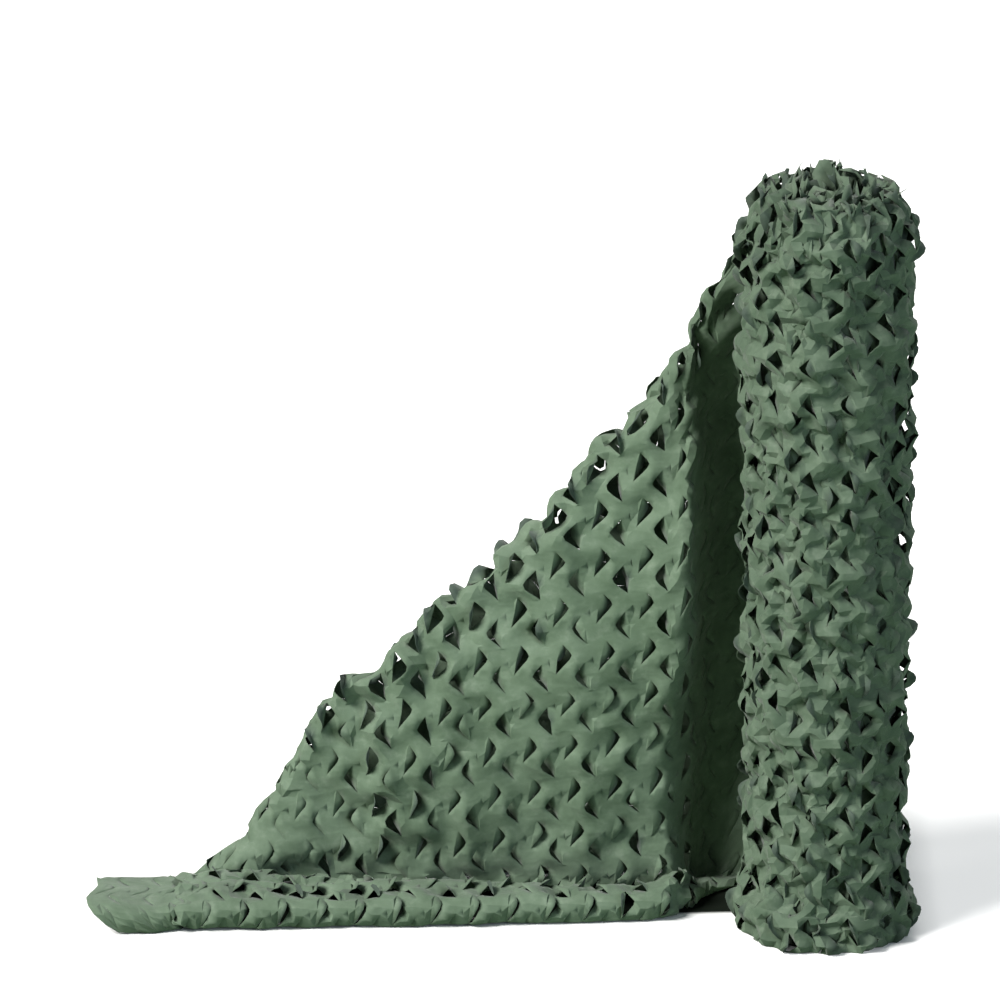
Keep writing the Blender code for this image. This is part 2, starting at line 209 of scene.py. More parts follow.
class NodeBench:
    """Adds nodes to a tree and joins them."""

    def __init__(self, tree: NodeTree) -> None:
        """Keep the tree."""
        self.tree = tree

    def add(self, kind: str, **settings: object) -> bpy.types.Node:
        """Add a node.

        Args:
            kind: the node's type.
            settings: attributes to set on it.

        Returns:
            The node.
        """
        node = self.tree.nodes.new(kind)
        for name, value in settings.items():
            setattr(node, name, value)
        return node

    def feed(self, socket: Socket, value: object) -> None:
        """Join another socket to this one, or set its value.

        Args:
            socket: the input to feed.
            value: the output to join to it, or the value to set.
        """
        if isinstance(value, Socket):
            self.tree.links.new(value, socket)
        else:
            socket.default_value = value

    def maths(self, operation: str, *values: object) -> Socket:
        """Add a Math node.

        Args:
            operation: what it works out.
            values: the numbers or outputs it works on.

        Returns:
            Its result.
        """
        node = self.add("ShaderNodeMath", operation=operation)
        for socket, value in zip(node.inputs, values):
            self.feed(socket, value)
        return node.outputs[0]

    def blend(self, share: object, a: object, b: object) -> Socket:
        """Mix two colours.

        Args:
            share: share of the second colour.
            a: the first colour.
            b: the second colour.

        Returns:
            The mixed colour.
        """
        node = self.add("ShaderNodeMix", data_type="RGBA")
        for number, value in ((0, share), (6, a), (7, b)):
            self.feed(node.inputs[number], value)
        return node.outputs[2]

    def noise(self, where: Socket, scale: float, detail: float, rough: float = 0.5) -> Socket:
        """Add a Noise Texture.

        Args:
            where: the place it is read at.
            scale: how many times it repeats in a metre.
            detail: how many finer layers it has.
            rough: how strong those layers are.

        Returns:
            Its value, from 0 to 1.
        """
        node = self.add("ShaderNodeTexNoise")
        for name, value in (("Vector", where), ("Scale", scale), ("Detail", detail), ("Roughness", rough)):
            self.feed(node.inputs[name], value)
        return node.outputs["Fac"]

    def ranged(self, value: Socket, low: float, high: float, to: tuple[float, float]) -> Socket:
        """Map a value's range on to another, held at its ends.

        Args:
            value: the value.
            low: start of its range.
            high: end of its range.
            to: the range it is mapped on to.

        Returns:
            The mapped value.
        """
        node = self.add("ShaderNodeMapRange")
        for socket, part in zip(node.inputs, (value, low, high, *to)):
            self.feed(socket, part)
        return node.outputs[0]


# ---- The die-cut pattern ----


class Facing(Enum):
    """Which way the leaf of a cut points along the cloth, away from the roll or towards it."""

    OUT = 1.0
    BACK = -1.0


@dataclass(frozen=True)
class Cut:
    """One V-shaped cut with a rounded corner, at its place in the pattern's cell.

    Attributes:
        facing: which way its leaf points.
        corner: the corner's place in the cell.
        short_arm: from the corner to the end of the short upper arm, towards the leaf's root.
        long_arm: from the corner to the end of the long lower arm, towards the leaf's root.
        rounding: how far from the corner the arms start to bend.
    """

    facing: Facing
    corner: tuple[float, float]
    short_arm: tuple[float, float]
    long_arm: tuple[float, float]
    rounding: float = 0.0110

    def arms(self) -> tuple[Array, Array, Array]:
        """The corner, and the ends of the short and the long arm."""
        turn, tip = np.array([-self.facing.value, 1.0]), np.asarray(self.corner)
        return tip, tip + turn * self.short_arm, tip + turn * self.long_arm

    def line(self) -> Array:
        """Lay points along the cut, with its corner rounded.

        Returns:
            The points, from the short arm's end to the long arm's end.
        """
        tip, top, low = self.arms()
        a = tip + (top - tip) / np.linalg.norm(top - tip) * self.rounding
        b = tip + (low - tip) / np.linalg.norm(low - tip) * self.rounding
        bend = [(1 - t) ** 2 * a + 2 * t * (1 - t) * tip + t * t * b for t in (0.0, 0.5, 1.0)]
        arm = [b + (low - b) * t for t in (0.36, 0.70, 1.0)]
        return np.array([top, *bend, *arm])

    def root(self) -> tuple[Array, Array, Array]:
        """Find the line that the leaf turns about.

        Returns:
            The line's middle, its unit direction, and the direction from it to the leaf's tip.
        """
        tip, top, low = self.arms()
        line = (low - top) / np.linalg.norm(low - top)
        out = (tip - top) - line * np.dot(tip - top, line)
        return (top + low) * 0.5, line, out / np.linalg.norm(out)

    def height(self, points: Array) -> Array:
        """How far points lie beyond the leaf's root line, towards its tip."""
        middle, _, out = self.root()
        return np.maximum((points - middle) @ out, 0.0)

    def full_height(self) -> float:
        """Height of the whole leaf, from its root line to its tip."""
        return float(self.height(self.arms()[0][None])[0])

    def holds(self, points: Array) -> Array:
        """Find the points on the cut's own leaf.

        Args:
            points: places in the cell.

        Returns:
            True for points between the arms, on the tip's side of the root line.
        """
        tip, top, low = self.arms()
        share = (points - tip) @ np.linalg.inv(np.column_stack([top - tip, low - tip])).T
        return (share[:, 0] > 0.0) & (share[:, 1] > 0.0) & (self.height(points) > 0.0)

    def beside(self, points: Array, reach: float) -> Array:
        """How strongly cloth gives way beside the cut.

        Args:
            points: places in the cell.
            reach: distance over which the effect fades.

        Returns:
            1 beside the cut's middle, 0 at its ends and far from it.
        """
        line = self.line()
        steps = np.linalg.norm(np.diff(line, axis=0), axis=1)
        before = np.concatenate([[0.0], np.cumsum(steps)])
        best = np.full(len(points), 1e9)
        share = np.zeros(len(points))
        for a, b, start, step in zip(line[:-1], line[1:], before, steps):
            t = np.clip((points - a) @ (b - a) / step**2, 0.0, 1.0)
            gap = np.linalg.norm(points - (a + t[:, None] * (b - a)), axis=1)
            share = np.where(gap < best, (start + t * step) / before[-1], share)
            best = np.minimum(best, gap)
        return np.sin(np.pi * share) * np.maximum(1.0 - best / (1.6 * reach), 0.0)


@dataclass(frozen=True)
class Cell:
    """One repeat of the die-cut pattern, meshed so that its edges match its neighbours'.

    Attributes:
        width: its size along the cloth.
        height: its size across the cloth, with 16 rows to the net's width.
        spacing: usual distance between the mesh's points.
        slit: width of a cut before its leaf moves.
        steps: heights of the stepped lower edge at its first and its last side.
        cuts: the two cuts.
    """

    width: float = 0.0772
    height: float = NET_WIDTH / 16
    spacing: float = 0.0150
    slit: float = 0.00015
    steps: tuple[float, float] = (0.0140, 0.0280)
    cuts: tuple[Cut, Cut] = (
        Cut(Facing.OUT, (0.0352, 0.0520), (0.0205, 0.0245), (0.0260, -0.0350)),
        Cut(Facing.BACK, (0.0370, 0.0920), (0.0160, 0.0240), (0.0330, -0.0370)),
    )

    def lower_edge(self) -> Array:
        """Step the lower edge between the cuts of two rows.

        Returns:
            Its points, from one side to the other.
        """
        low, high = self.steps
        places = ((0.0, low), (0.20, low - 0.001), (0.43, low + 0.001), (0.55, high - 0.002))
        places += ((0.76, high + 0.001), (1.0, high))
        return np.array([(self.width * share, rise) for share, rise in places])

    def outline(self) -> Array:
        """Close the outline, with opposite sides alike.

        Returns:
            Its points, counter-clockwise.
        """
        low, high = self.steps
        edge = self.lower_edge()
        over = np.array([0.0, self.height])
        rises = [high + (self.height + low - high) * k / 4.0 for k in range(1, 4)]
        right = [(self.width, rise) for rise in [*rises, low + self.height]]
        left = [(0.0, rise) for rise in [*reversed(rises), high]]
        return np.concatenate([edge, right, (edge + over)[::-1], left])

    def filling(self, fixed: Array) -> Array:
        """Spread points evenly inside the outline.

        Args:
            fixed: the points that are already there, which the new ones stay clear of.

        Returns:
            The new points.
        """
        step, rise = self.spacing, self.spacing * 0.866
        rows = [
            (i * step + 0.5 * step * (j % 2), j * rise)
            for j in range(int((self.height + 0.03) / rise) + 1)
            for i in range(int(self.width / step) + 2)
        ]
        points = np.array(rows)
        clear = np.linalg.norm(points[:, None] - fixed[None], axis=2).min(axis=1) > 0.55 * step
        return points[inside_outline(points, self.outline()) & clear]

    def triangles(self) -> tuple[Array, Array, list[list[int]]]:
        """Triangulate the cell with both cuts and both root lines as edges.

        Returns:
            The points, the triangles, and the numbers of each cut's points in order.
        """
        outline = self.outline()
        parts = [outline]
        edges = [(i, (i + 1) % len(outline)) for i in range(len(outline))]
        order = []
        start = len(outline)
        for cut in self.cuts:
            line = cut.line()
            parts += [line, cut.root()[0][None]]
            numbers = list(range(start, start + len(line)))
            order.append(numbers)
            edges += list(zip(numbers[:-1], numbers[1:]))
            edges += [(numbers[0], start + len(line)), (start + len(line), numbers[-1])]
            start += len(line) + 1
        fixed = np.concatenate(parts)
        points = np.concatenate([fixed, self.filling(fixed)])
        verts, _, made, *_ = delaunay_2d_cdt([Vector(p) for p in points], edges, [], 0, 1e-6)
        verts = np.array([tuple(v) for v in verts])
        faces = np.array(made)
        faces = faces[inside_outline(verts[faces].mean(axis=1), outline)]
        ab, ac = verts[faces[:, 1]] - verts[faces[:, 0]], verts[faces[:, 2]] - verts[faces[:, 0]]
        down = ab[:, 0] * ac[:, 1] - ab[:, 1] * ac[:, 0] < 0.0
        faces = np.where(down[:, None], faces[:, ::-1], faces)
        order = [
            [int(np.argmin(np.linalg.norm(verts - points[i], axis=1))) for i in numbers]
            for numbers in order
        ]
        return verts, faces, order

    def mesh(self) -> Mesh:
        """Mesh the cell flat, its cuts open by a hair.

        Returns:
            The mesh, with each point's height on a leaf in attributes leaf_0 and leaf_1.
        """
        verts, faces, order = self.triangles()
        middle = verts[faces].mean(axis=1)
        leaf = [np.where(c.holds(verts), c.height(verts), 0.0) for c in self.cuts]
        added = []
        for own, cut in enumerate(self.cuts):
            for number in order[own]:
                leaf[own][number] = 0.0
            for number in order[own][1:-1]:
                users = (faces == number) & cut.holds(middle)[:, None]
                faces = np.where(users, len(verts) + len(added), faces)
                heights = [0.0, 0.0]
                heights[own] = float(cut.height(verts[number][None])[0])
                added.append((verts[number] - cut.root()[2] * self.slit, heights))
        flat = np.concatenate([verts, [place for place, _ in added]])
        made = bpy.data.meshes.new("cell")
        made.from_pydata([(x, y, 0.0) for x, y in flat], [], faces.tolist())
        for own in range(2):
            layer = made.attributes.new(f"leaf_{own}", "FLOAT", "POINT")
            values = np.concatenate([leaf[own], [heights[own] for _, heights in added]])
            layer.data.foreach_set("value", values.astype(np.float32))
        return made


@dataclass(frozen=True)
class Tiling:
    """Repeats the pattern's cell over a flat length, with Geometry Nodes."""

    cell: Cell

    def tree(self) -> NodeTree:
        """Build the node tree once; each length sets its own counts and finish.

        Returns:
            The node tree.
        """
        tree = bpy.data.node_groups.new("repeat_cell", "GeometryNodeTree")
        face = tree.interface
        face.new_socket("Cell", in_out="INPUT", socket_type="NodeSocketGeometry")
        sizes = (
            ("Columns", "NodeSocketInt", 1),
            ("Rows", "NodeSocketInt", 1),
            ("Cell Width", "NodeSocketFloat", self.cell.width),
            ("Cell Height", "NodeSocketFloat", self.cell.height),
        )
        for name, kind, value in sizes:
            face.new_socket(name, in_out="INPUT", socket_type=kind).default_value = value
        face.new_socket("Finish", in_out="INPUT", socket_type="NodeSocketMaterial")
        face.new_socket("Cloth", in_out="OUTPUT", socket_type="NodeSocketGeometry")
        bench = NodeBench(tree)
        given, result = bench.add("NodeGroupInput"), bench.add("NodeGroupOutput")
        columns, rows = given.outputs["Columns"], given.outputs["Rows"]
        index = bench.add("GeometryNodeInputIndex").outputs[0]
        row = bench.maths("FLOOR", bench.maths("ADD", bench.maths("DIVIDE", index, columns), 0.0001))
        column = bench.maths("SUBTRACT", index, bench.maths("MULTIPLY", row, columns))
        place = bench.add("ShaderNodeCombineXYZ")
        bench.feed(place.inputs[0], bench.maths("MULTIPLY", column, given.outputs["Cell Width"]))
        bench.feed(place.inputs[1], bench.maths("MULTIPLY", row, given.outputs["Cell Height"]))
        points = bench.add("GeometryNodePoints")
        bench.feed(points.inputs["Count"], bench.maths("MULTIPLY", columns, rows))
        bench.feed(points.inputs["Position"], place.outputs[0])
        laid = bench.add("GeometryNodeInstanceOnPoints")
        bench.feed(laid.inputs["Points"], points.outputs[0])
        bench.feed(laid.inputs["Instance"], given.outputs["Cell"])
        real = bench.add("GeometryNodeRealizeInstances")
        bench.feed(real.inputs[0], laid.outputs[0])
        dressed = bench.add("GeometryNodeSetMaterial")
        bench.feed(dressed.inputs["Geometry"], real.outputs[0])
        bench.feed(dressed.inputs["Material"], given.outputs["Finish"])
        bench.feed(result.inputs["Cloth"], dressed.outputs[0])
        return tree


@dataclass(frozen=True)
class Leaves:
    """How the leaves and the cloth between them move out of the flat, in the cloth's own frame.

    Attributes:
        stand: angle at which a leaf leaves its root, in radians, before its own chance.
        curl: further turn from its root to its tip.
        gape: how far the cloth beside a cut gives way.
        sink: how far the cloth beside a cut moves off the flat, away from the leaf.
        thrown: share of the leaves that are thrown wide open.
        lift: height of the rounded bump that a leaf's root stands on.
        outward: share of the leaves that lift to the cloth's outer side.
        wave: height of the slow unevenness of the whole cloth.
        slack: how much longer than its place the cloth is.
        held: share to which the cloth keeps the size that it was laid at.
    """

    stand: Array
    curl: Array
    gape: Array
    sink: Array
    thrown: Array
    lift: Array
    outward: Array
    wave: Array
    slack: Array
    held: Array


@dataclass(frozen=True)
class LeafChances:
    """Each leaf's own share of Leaves by chance, as arrays of column, row and cut.

    Attributes:
        side: 1 where the leaf lifts to the cloth's outer side, -1 where it lifts to the inner one.
        skew: how much more it stands at the lower end of its root than at the upper one.
        pull: how far its tip is drawn along its root.
    """

    stand: Array
    curl: Array
    gape: Array
    sink: Array
    lift: Array
    side: Array
    skew: Array
    pull: Array


@dataclass
class Movement:
    """How far each point of a flat length has moved.

    Attributes:
        shift: its move within the cloth.
        rise: its height off the cloth.
        turned: share of painted shade on its leaf, which grows as the leaf turns open.
    """

    shift: Array
    rise: Array
    turned: Array


@dataclass
class Length:
    """One flat length of the die-cut cloth.

    Attributes:
        name: the finished piece's name.
        cell: the pattern's cell.
        columns: cells along the cloth.
        rows: cells across the cloth.
        start: where along the cloth the first column begins.
        seed: what fixes the chances of this length's leaves.
        first_row: the row that the length starts at, below 0 for cloth turned under.
        teeth: depth of the notches that the cuts leave along the upper selvage.
        slack: how much longer and wider the flat cloth is than the surface it is laid on.
        ease: how far the threads are let out (over 1) or pulled (under 1) along and across.
    """

    name: str
    cell: Cell
    columns: int
    rows: int
    start: float
    seed: int
    first_row: int = 0
    teeth: float = 0.0
    slack: tuple[float, float] = (1.0, 1.0)
    ease: tuple[float, float] = (1.0, 1.0)

    REACH = 0.0150
    ROOT_REACH = 0.0400
    SINK_REACH = 0.0230
    LEAF_REACH = 0.0750
    SELVAGE = 0.0550
    # Turn of a leaf, in radians, over which its painted shade grows.
    PAINTED_SHADE_TURN = (0.70, 0.30)

    def flat_mesh(self, tree: NodeTree, finish: Material) -> Mesh:
        """Lay the cells out flat and join them.

        Args:
            tree: the node tree that repeats the cell.
            finish: the cloth's finish.

        Returns:
            The flat mesh, one skin, with the leaves' heights in its attributes.
        """
        obj = put("flat", self.cell.mesh())
        maker = obj.modifiers.new("repeat", "NODES")
        maker.node_group = tree
        values = {"Columns": self.columns, "Rows": self.rows, "Finish": finish}
        for item in tree.interface.items_tree:
            if item.name in values:
                maker[item.identifier] = values[item.name]
        obj.update_tag()
        ready = obj.evaluated_get(bpy.context.evaluated_depsgraph_get())
        made = bpy.data.meshes.new_from_object(ready)
        bpy.data.objects.remove(obj, do_unlink=True)
        bm = bmesh.new()
        bm.from_mesh(made)
        bmesh.ops.remove_doubles(bm, verts=bm.verts, dist=0.3 * self.cell.slit)
        self.notch(bm)
        bm.to_mesh(made)
        bm.free()
        return made

    def notch(self, bm: bmesh.types.BMesh) -> None:
        """Notch the upper selvage where the cuts run off it.

        Args:
            bm: the flat mesh, which loses the notched faces.
        """
        if not self.teeth:
            return
        rng = np.random.RandomState(self.seed + 100)
        chance = rng.uniform(0.35, 1.0, 2 * self.columns + 2)
        full = self.rows * self.cell.height + self.cell.steps[0]
        gone = []
        for face in bm.faces:
            middle = face.calc_center_median()
            tooth = 2.0 * middle.x / self.cell.width
            number = int(tooth)
            depth = self.teeth * chance[number] * abs(2.0 * (tooth - number) - 1.0)
            if middle.y > full - depth:
                gone.append(face)
        bmesh.ops.delete(bm, geom=gone, context="FACES")

    def leaf_centres(self) -> tuple[Array, Array]:
        """Find where every leaf's root lies.

        Returns:
            Places along and across, as arrays of column, row and cut.
        """
        roots = np.array([cut.root()[0] for cut in self.cell.cuts])
        i, j = np.arange(self.columns), np.arange(self.rows)
        along = self.start + i[:, None, None] * self.cell.width + roots[None, None, :, 0]
        rows = (j + self.first_row)[None, :, None] * self.cell.height
        across = rows + roots[None, None, :, 1] - 0.5 * sum(self.cell.steps)
        shape = (self.columns, self.rows, 2)
        along, across = along / self.slack[0], across / self.slack[1]
        return np.broadcast_to(along, shape), np.broadcast_to(across, shape)

    def straighten(self, place: Array) -> Array:
        """Turn the stepped first and last edges into straight selvages.

        Args:
            place: flat places, changed where they are near an edge.

        Returns:
            The places, from 0 to the full width.
        """
        cell = self.cell
        edge = cell.lower_edge()
        step = np.interp(np.mod(place[:, 0] - self.start, cell.width), edge[:, 0], edge[:, 1])
        full = self.rows * cell.height
        up = place[:, 1] - step
        near = (1.0 - smooth(up / self.SELVAGE)) + (1.0 - smooth((full - up) / self.SELVAGE))
        middle = 0.5 * sum(cell.steps)
        out = place.copy()
        out[:, 1] = place[:, 1] - middle + (middle - step) * near
        return out

    def points(self, mesh: Mesh) -> tuple[Array, Array]:
        """Find where every point of the flat mesh lies.

        Args:
            mesh: the flat mesh.

        Returns:
            Places along and across the cloth.
        """
        flat = np.zeros(len(mesh.vertices) * 3, np.float32)
        mesh.vertices.foreach_get("co", flat)
        across = flat[1::3] - 0.5 * sum(self.cell.steps) + self.first_row * self.cell.height
        along = flat[0::3] + self.start
        return along.astype(float) / self.slack[0], across.astype(float) / self.slack[1]

    def read_flat(self, mesh: Mesh) -> tuple[Array, list[Array]]:
        """Read the flat mesh.

        Args:
            mesh: the flat mesh.

        Returns:
            Each point's flat place, and its height on a leaf of each cut.
        """
        count = len(mesh.vertices)
        flat = np.zeros(count * 3, np.float32)
        mesh.vertices.foreach_get("co", flat)
        heights = []
        for own in range(len(self.cell.cuts)):
            values = np.zeros(count, np.float32)
            mesh.attributes[f"leaf_{own}"].data.foreach_get("value", values)
            heights.append(values.astype(float))
        return flat.reshape(-1, 3)[:, :2].astype(float), heights

    def chances(self, leaves: Leaves) -> LeafChances:
        """Draw each leaf's own movement.

        Args:
            leaves: how the leaves move on the whole.

        Returns:
            How each of them moves.
        """
        rng = np.random.RandomState(self.seed)
        shape = (self.columns, self.rows, 2)
        stand = leaves.stand * rng.uniform(0.2, 1.5, shape)
        thrown = rng.uniform(size=shape) < leaves.thrown
        return LeafChances(
            stand=np.where(thrown, rng.uniform(0.8, 1.6, shape), stand),
            curl=leaves.curl * rng.uniform(0.3, 1.6, shape),
            gape=leaves.gape * rng.uniform(0.3, 1.6, shape),
            sink=leaves.sink * rng.uniform(0.1, 1.7, shape),
            lift=leaves.lift * rng.uniform(0.3, 1.5, shape),
            side=np.where(rng.uniform(size=shape) < leaves.outward, 1.0, -1.0),
            skew=rng.uniform(-0.7, 0.7, shape),
            pull=rng.uniform(-1.0, 1.0, shape),
        )

    def lift_leaves(
        self,
        at: tuple[Array, Array, int],
        local: Array,
        real: Array,
        height: Array,
        move: Movement,
        chance: LeafChances,
    ) -> None:
        """Move every point near one leaf of its own cell or of a neighbour.

        Args:
            at: the column, row and cut of the leaf that each point looks at.
            local: each point's place in that leaf's cell.
            real: True where the length has such a cell.
            height: each point's height on a leaf of this cut.
            move: each point's movement, which this adds to.
            chance: how each leaf moves.
        """
        cut = self.cell.cuts[at[2]]
        middle, line, out = cut.root()
        full = cut.full_height()
        off = np.linalg.norm(local - middle, axis=1)
        close = real & (off < self.LEAF_REACH)
        if not close.any():
            return
        on_leaf = close & (height > 0.0) & cut_near(cut, local)
        stand, skew, side = chance.stand[at], chance.skew[at], chance.side[at]
        bump = smooth(1.0 - off / self.ROOT_REACH) * chance.lift[at] * side
        move.rise += np.where(close, bump, 0.0)
        beside = np.zeros(len(local))
        beside[close] = cut.beside(local[close], self.REACH)
        beside *= ~on_leaf
        move.shift += (beside * chance.gape[at])[:, None] * out
        beside[close] = cut.beside(local[close], self.SINK_REACH)
        move.rise -= beside * ~on_leaf * side * chance.sink[at]
        sway = (local - middle) @ line / full
        start = stand * np.clip(1.0 + skew * sway, 0.1, 2.0)
        bend = np.maximum(chance.curl[at] * (1.0 - 0.5 * skew * sway), 0.02)
        turn = start + bend * height / full
        reach = full * (np.sin(turn) - np.sin(start)) / bend - height
        raised = full * (np.cos(start) - np.cos(turn)) / bend * side
        move.shift += np.where(on_leaf, reach, 0.0)[:, None] * out
        tuck = height * chance.pull[at] * 0.20 * np.minimum(stand + 0.3, 1.0)
        move.shift += np.where(on_leaf, tuck, 0.0)[:, None] * line
        move.rise += np.where(on_leaf, raised, 0.0)
        # Painted shade on the leaves that turn far open.
        move.turned += np.where(on_leaf, rising(turn, *self.PAINTED_SHADE_TURN), 0.0)

    def moved(self, mesh: Mesh, leaves: Leaves) -> tuple[Array, Array, Array]:
        """Lift and curl the leaves of the flat cloth, and mark the painted shade on leaves that turn open.

        Args:
            mesh: the flat mesh.
            leaves: how the leaves move.

        Returns:
            Each point's place on the cloth, its height off the cloth, and its flat place.
        """
        flat, heights = self.read_flat(mesh)
        cell = self.cell
        chance = self.chances(leaves)
        move = Movement(np.zeros_like(flat), leaves.wave.copy(), np.zeros(len(flat)))
        column = np.floor(flat[:, 0] / cell.width + 1e-6).astype(int)
        row = np.floor((flat[:, 1] - cell.steps[0]) / cell.height).astype(int)
        for own, di, dj in itertools.product(range(len(cell.cuts)), (-1, 0, 1), (-2, -1, 0, 1)):
            i, j = column + di, row + dj
            real = (i >= 0) & (i < self.columns) & (j >= 0) & (j < self.rows)
            at = (np.where(real, i, 0), np.where(real, j, 0), own)
            corner = np.column_stack([i * cell.width, j * cell.height])
            self.lift_leaves(at, flat - corner, real, heights[own], move, chance)
        # The turned attribute holds each point's share of painted shade.
        mesh.attributes.new("turned", "FLOAT", "POINT").data.foreach_set("value", move.turned)
        flat[:, 0] += self.start
        laid = self.straighten(flat)
        laid[:, 1] += self.first_row * cell.height
        return laid / self.slack + move.shift, move.rise, laid


def cut_near(cut: Cut, points: Array) -> Array:
    """Find the points in the small box that holds a cut's own leaf.

    Args:
        cut: the cut.
        points: places in the cell.

    Returns:
        True for each point that can only be on this cut's leaf.
    """
    arms = np.array(cut.arms())
    low, high = arms.min(axis=0) - 0.001, arms.max(axis=0) + 0.001
    return ((points > low) & (points < high)).all(axis=1)


# ---- Where the cloth lies ----


class Surface:
    """A surface that the flat cloth is laid on, its outer side to the right of the cloth's length.

    Attributes:
        ground: height that no point of the cloth lies under.
    """

    ground = -1.0

    def place(self, along: Array, across: Array) -> Array:
        """Points of the surface at places along and across the cloth."""
        raise NotImplementedError

    def normal(self, laid: Array) -> Array:
        """Find which way is off the surface.

        Args:
            laid: places along and across the cloth.

        Returns:
            The surface's outer normals there.
        """
        u, v = laid[:, 0], laid[:, 1]
        step = 0.002
        du = self.place(u + step, v) - self.place(u - step, v)
        dv = self.place(u, v + step) - self.place(u, v - step)
        normal = np.cross(du, dv)
        return normal / np.maximum(np.linalg.norm(normal, axis=1), 1e-12)[:, None]

    def raised(self, laid: Array, rise: Array) -> Array:
        """Place points off the surface.

        Args:
            laid: places along and across the cloth.
            rise: heights off it, positive to the side that is outside on the roll.

        Returns:
            The points in space.
        """
        points = self.place(laid[:, 0], laid[:, 1]) + self.normal(laid) * rise[:, None]
        points[:, 2] = np.maximum(points[:, 2], self.ground)
        return points


@dataclass(frozen=True)
class Settling:
    """Lets a laid cloth settle until its threads have their own lengths again.

    Attributes:
        rounds: how often every thread is put right.
        haste: share of each correction that is made at once.
        hold: share of the way back to where it was laid that a point is drawn each round.
        stiff: how firmly the cloth keeps from folding sharply.
        depth: how far inside the surface cloth may end.
        height: how far outside the surface cloth may end.
    """

    rounds: int = 200
    haste: float = 1.15
    hold: float = 0.010
    stiff: float = 0.6
    depth: float = 0.028
    height: float = 0.028

    def threads(self, mesh: Mesh) -> tuple[Array, Array]:
        """Pairs of points that keep their distance.

        Args:
            mesh: the cloth's mesh, of triangles.

        Returns:
            The ends of the triangles' sides, and the corners that face each other over a side.
        """
        corners = np.zeros(len(mesh.loops), np.int32)
        mesh.loops.foreach_get("vertex_index", corners)
        faces = corners.reshape(-1, 3)
        sides = np.sort(np.concatenate([faces[:, [0, 1]], faces[:, [1, 2]], faces[:, [2, 0]]]), axis=1)
        over = np.concatenate([faces[:, 2], faces[:, 0], faces[:, 1]])
        key = sides[:, 0].astype(np.int64) * len(mesh.vertices) + sides[:, 1]
        order = np.argsort(key, kind="stable")
        same = np.diff(key[order]) == 0
        first = np.concatenate([[True], ~same])
        facing = np.column_stack([over[order][1:][same], over[order][:-1][same]])
        return sides[order][first], facing

    def settle(
        self, mesh: Mesh, points: Array, flat: Array, scale: Array, leaves: Leaves, lie: Surface
    ) -> Array:
        """Move the points until the threads between them are about as long as when flat.

        Args:
            mesh: the cloth's mesh, of triangles.
            points: where its points were laid.
            flat: their flat places, moved together to the size of the surface.
            scale: how much longer the threads are than that, along and across.
            leaves: how the cloth moves.
            lie: the surface it was laid on.

        Returns:
            The settled points.
        """
        sides, facing = self.threads(mesh)
        one, other = np.concatenate([sides, facing]).T
        firm = np.concatenate([np.ones(len(sides)), np.full(len(facing), self.stiff)])
        base, normal = lie.place(flat[:, 0], flat[:, 1]), lie.normal(flat)
        length = np.linalg.norm((flat[one] - flat[other]) * scale, axis=1)
        length *= 0.5 * (leaves.slack[one] + leaves.slack[other])
        held = 0.5 * (leaves.held[one] + leaves.held[other])
        length += (np.linalg.norm(base[one] - base[other], axis=1) * 1.01 - length) * held
        count = len(points)
        share = np.bincount(one, firm, count) + np.bincount(other, firm, count)
        share = 0.5 * self.haste / np.maximum(share, 1.0)
        hold = (self.hold + (1.0 - self.hold) * leaves.held**2)[:, None]
        settled = points.copy()
        for _ in range(self.rounds):
            way = settled[other] - settled[one]
            reach = np.maximum(np.linalg.norm(way, axis=1), 1e-9)
            way *= (firm * (reach - length) / reach)[:, None]
            for axis in range(3):
                pull = np.bincount(one, way[:, axis], count) - np.bincount(other, way[:, axis], count)
                settled[:, axis] += pull * share
            settled += (points - settled) * hold
            off = ((settled - base) * normal).sum(axis=1)
            settled += normal * (np.clip(off, -self.depth, self.height) - off)[:, None]
        settled[:, 2] = np.maximum(settled[:, 2], lie.ground)
        return settled


@dataclass(frozen=True)
class Winding:
    """The shape of the upright roll.

    Attributes:
        profile: radius and height of the outer turn at each length of cloth up it.
        lean: sideways lean of the top.
        pitch: how much nearer the axis each turn lies than the one outside it.
        inset: how far the cloth lies inside the profile, to leave room for its leaves.
        mean_radius: radius that lengths round the roll are measured at.
        back: distance from the axis to where the loose end leaves the roll's back.
        telescope: how much higher the second turn stands than the outer one.
        tuck: how much nearer the axis the second turn lies besides.
    """

    profile: dict[str, Column]
    lean: float = -0.012
    pitch: float = 0.0075
    inset: float = 0.0075
    mean_radius: float = 0.168
    back: float = 0.1740
    telescope: float = 0.030
    tuck: float = 0.012

    def place(self, along: Array, across: Array) -> Array:
        """Middle surface of the wound cloth.

        Args:
            along: places along the cloth, negative round the roll.
            across: places across the cloth.

        Returns:
            Points in space.
        """
        turned = -along / self.mean_radius
        angle = 0.5 * math.pi - turned
        second = rising(turned, 5.6, 1.2)
        climb = across + self.telescope * second
        z = self.profile["z"].at(climb)
        away = np.abs(np.mod(turned + math.pi, 2.0 * math.pi) - math.pi)
        from_back = rising(away, 0.45, 0.5)
        first = 1.0 - smooth(turned / 1.2)
        inset = self.inset * (1.0 - first * 0.7)
        r = self.profile["r"].at(climb)
        r = np.where(climb < 1.40, self.back + (r - self.back) * from_back, r)
        r = r - inset - self.tuck * second - self.pitch * turned / (2.0 * math.pi)
        x = r * np.cos(angle) + self.lean * z / NET_WIDTH
        return np.stack([x, r * np.sin(angle), z], axis=-1)


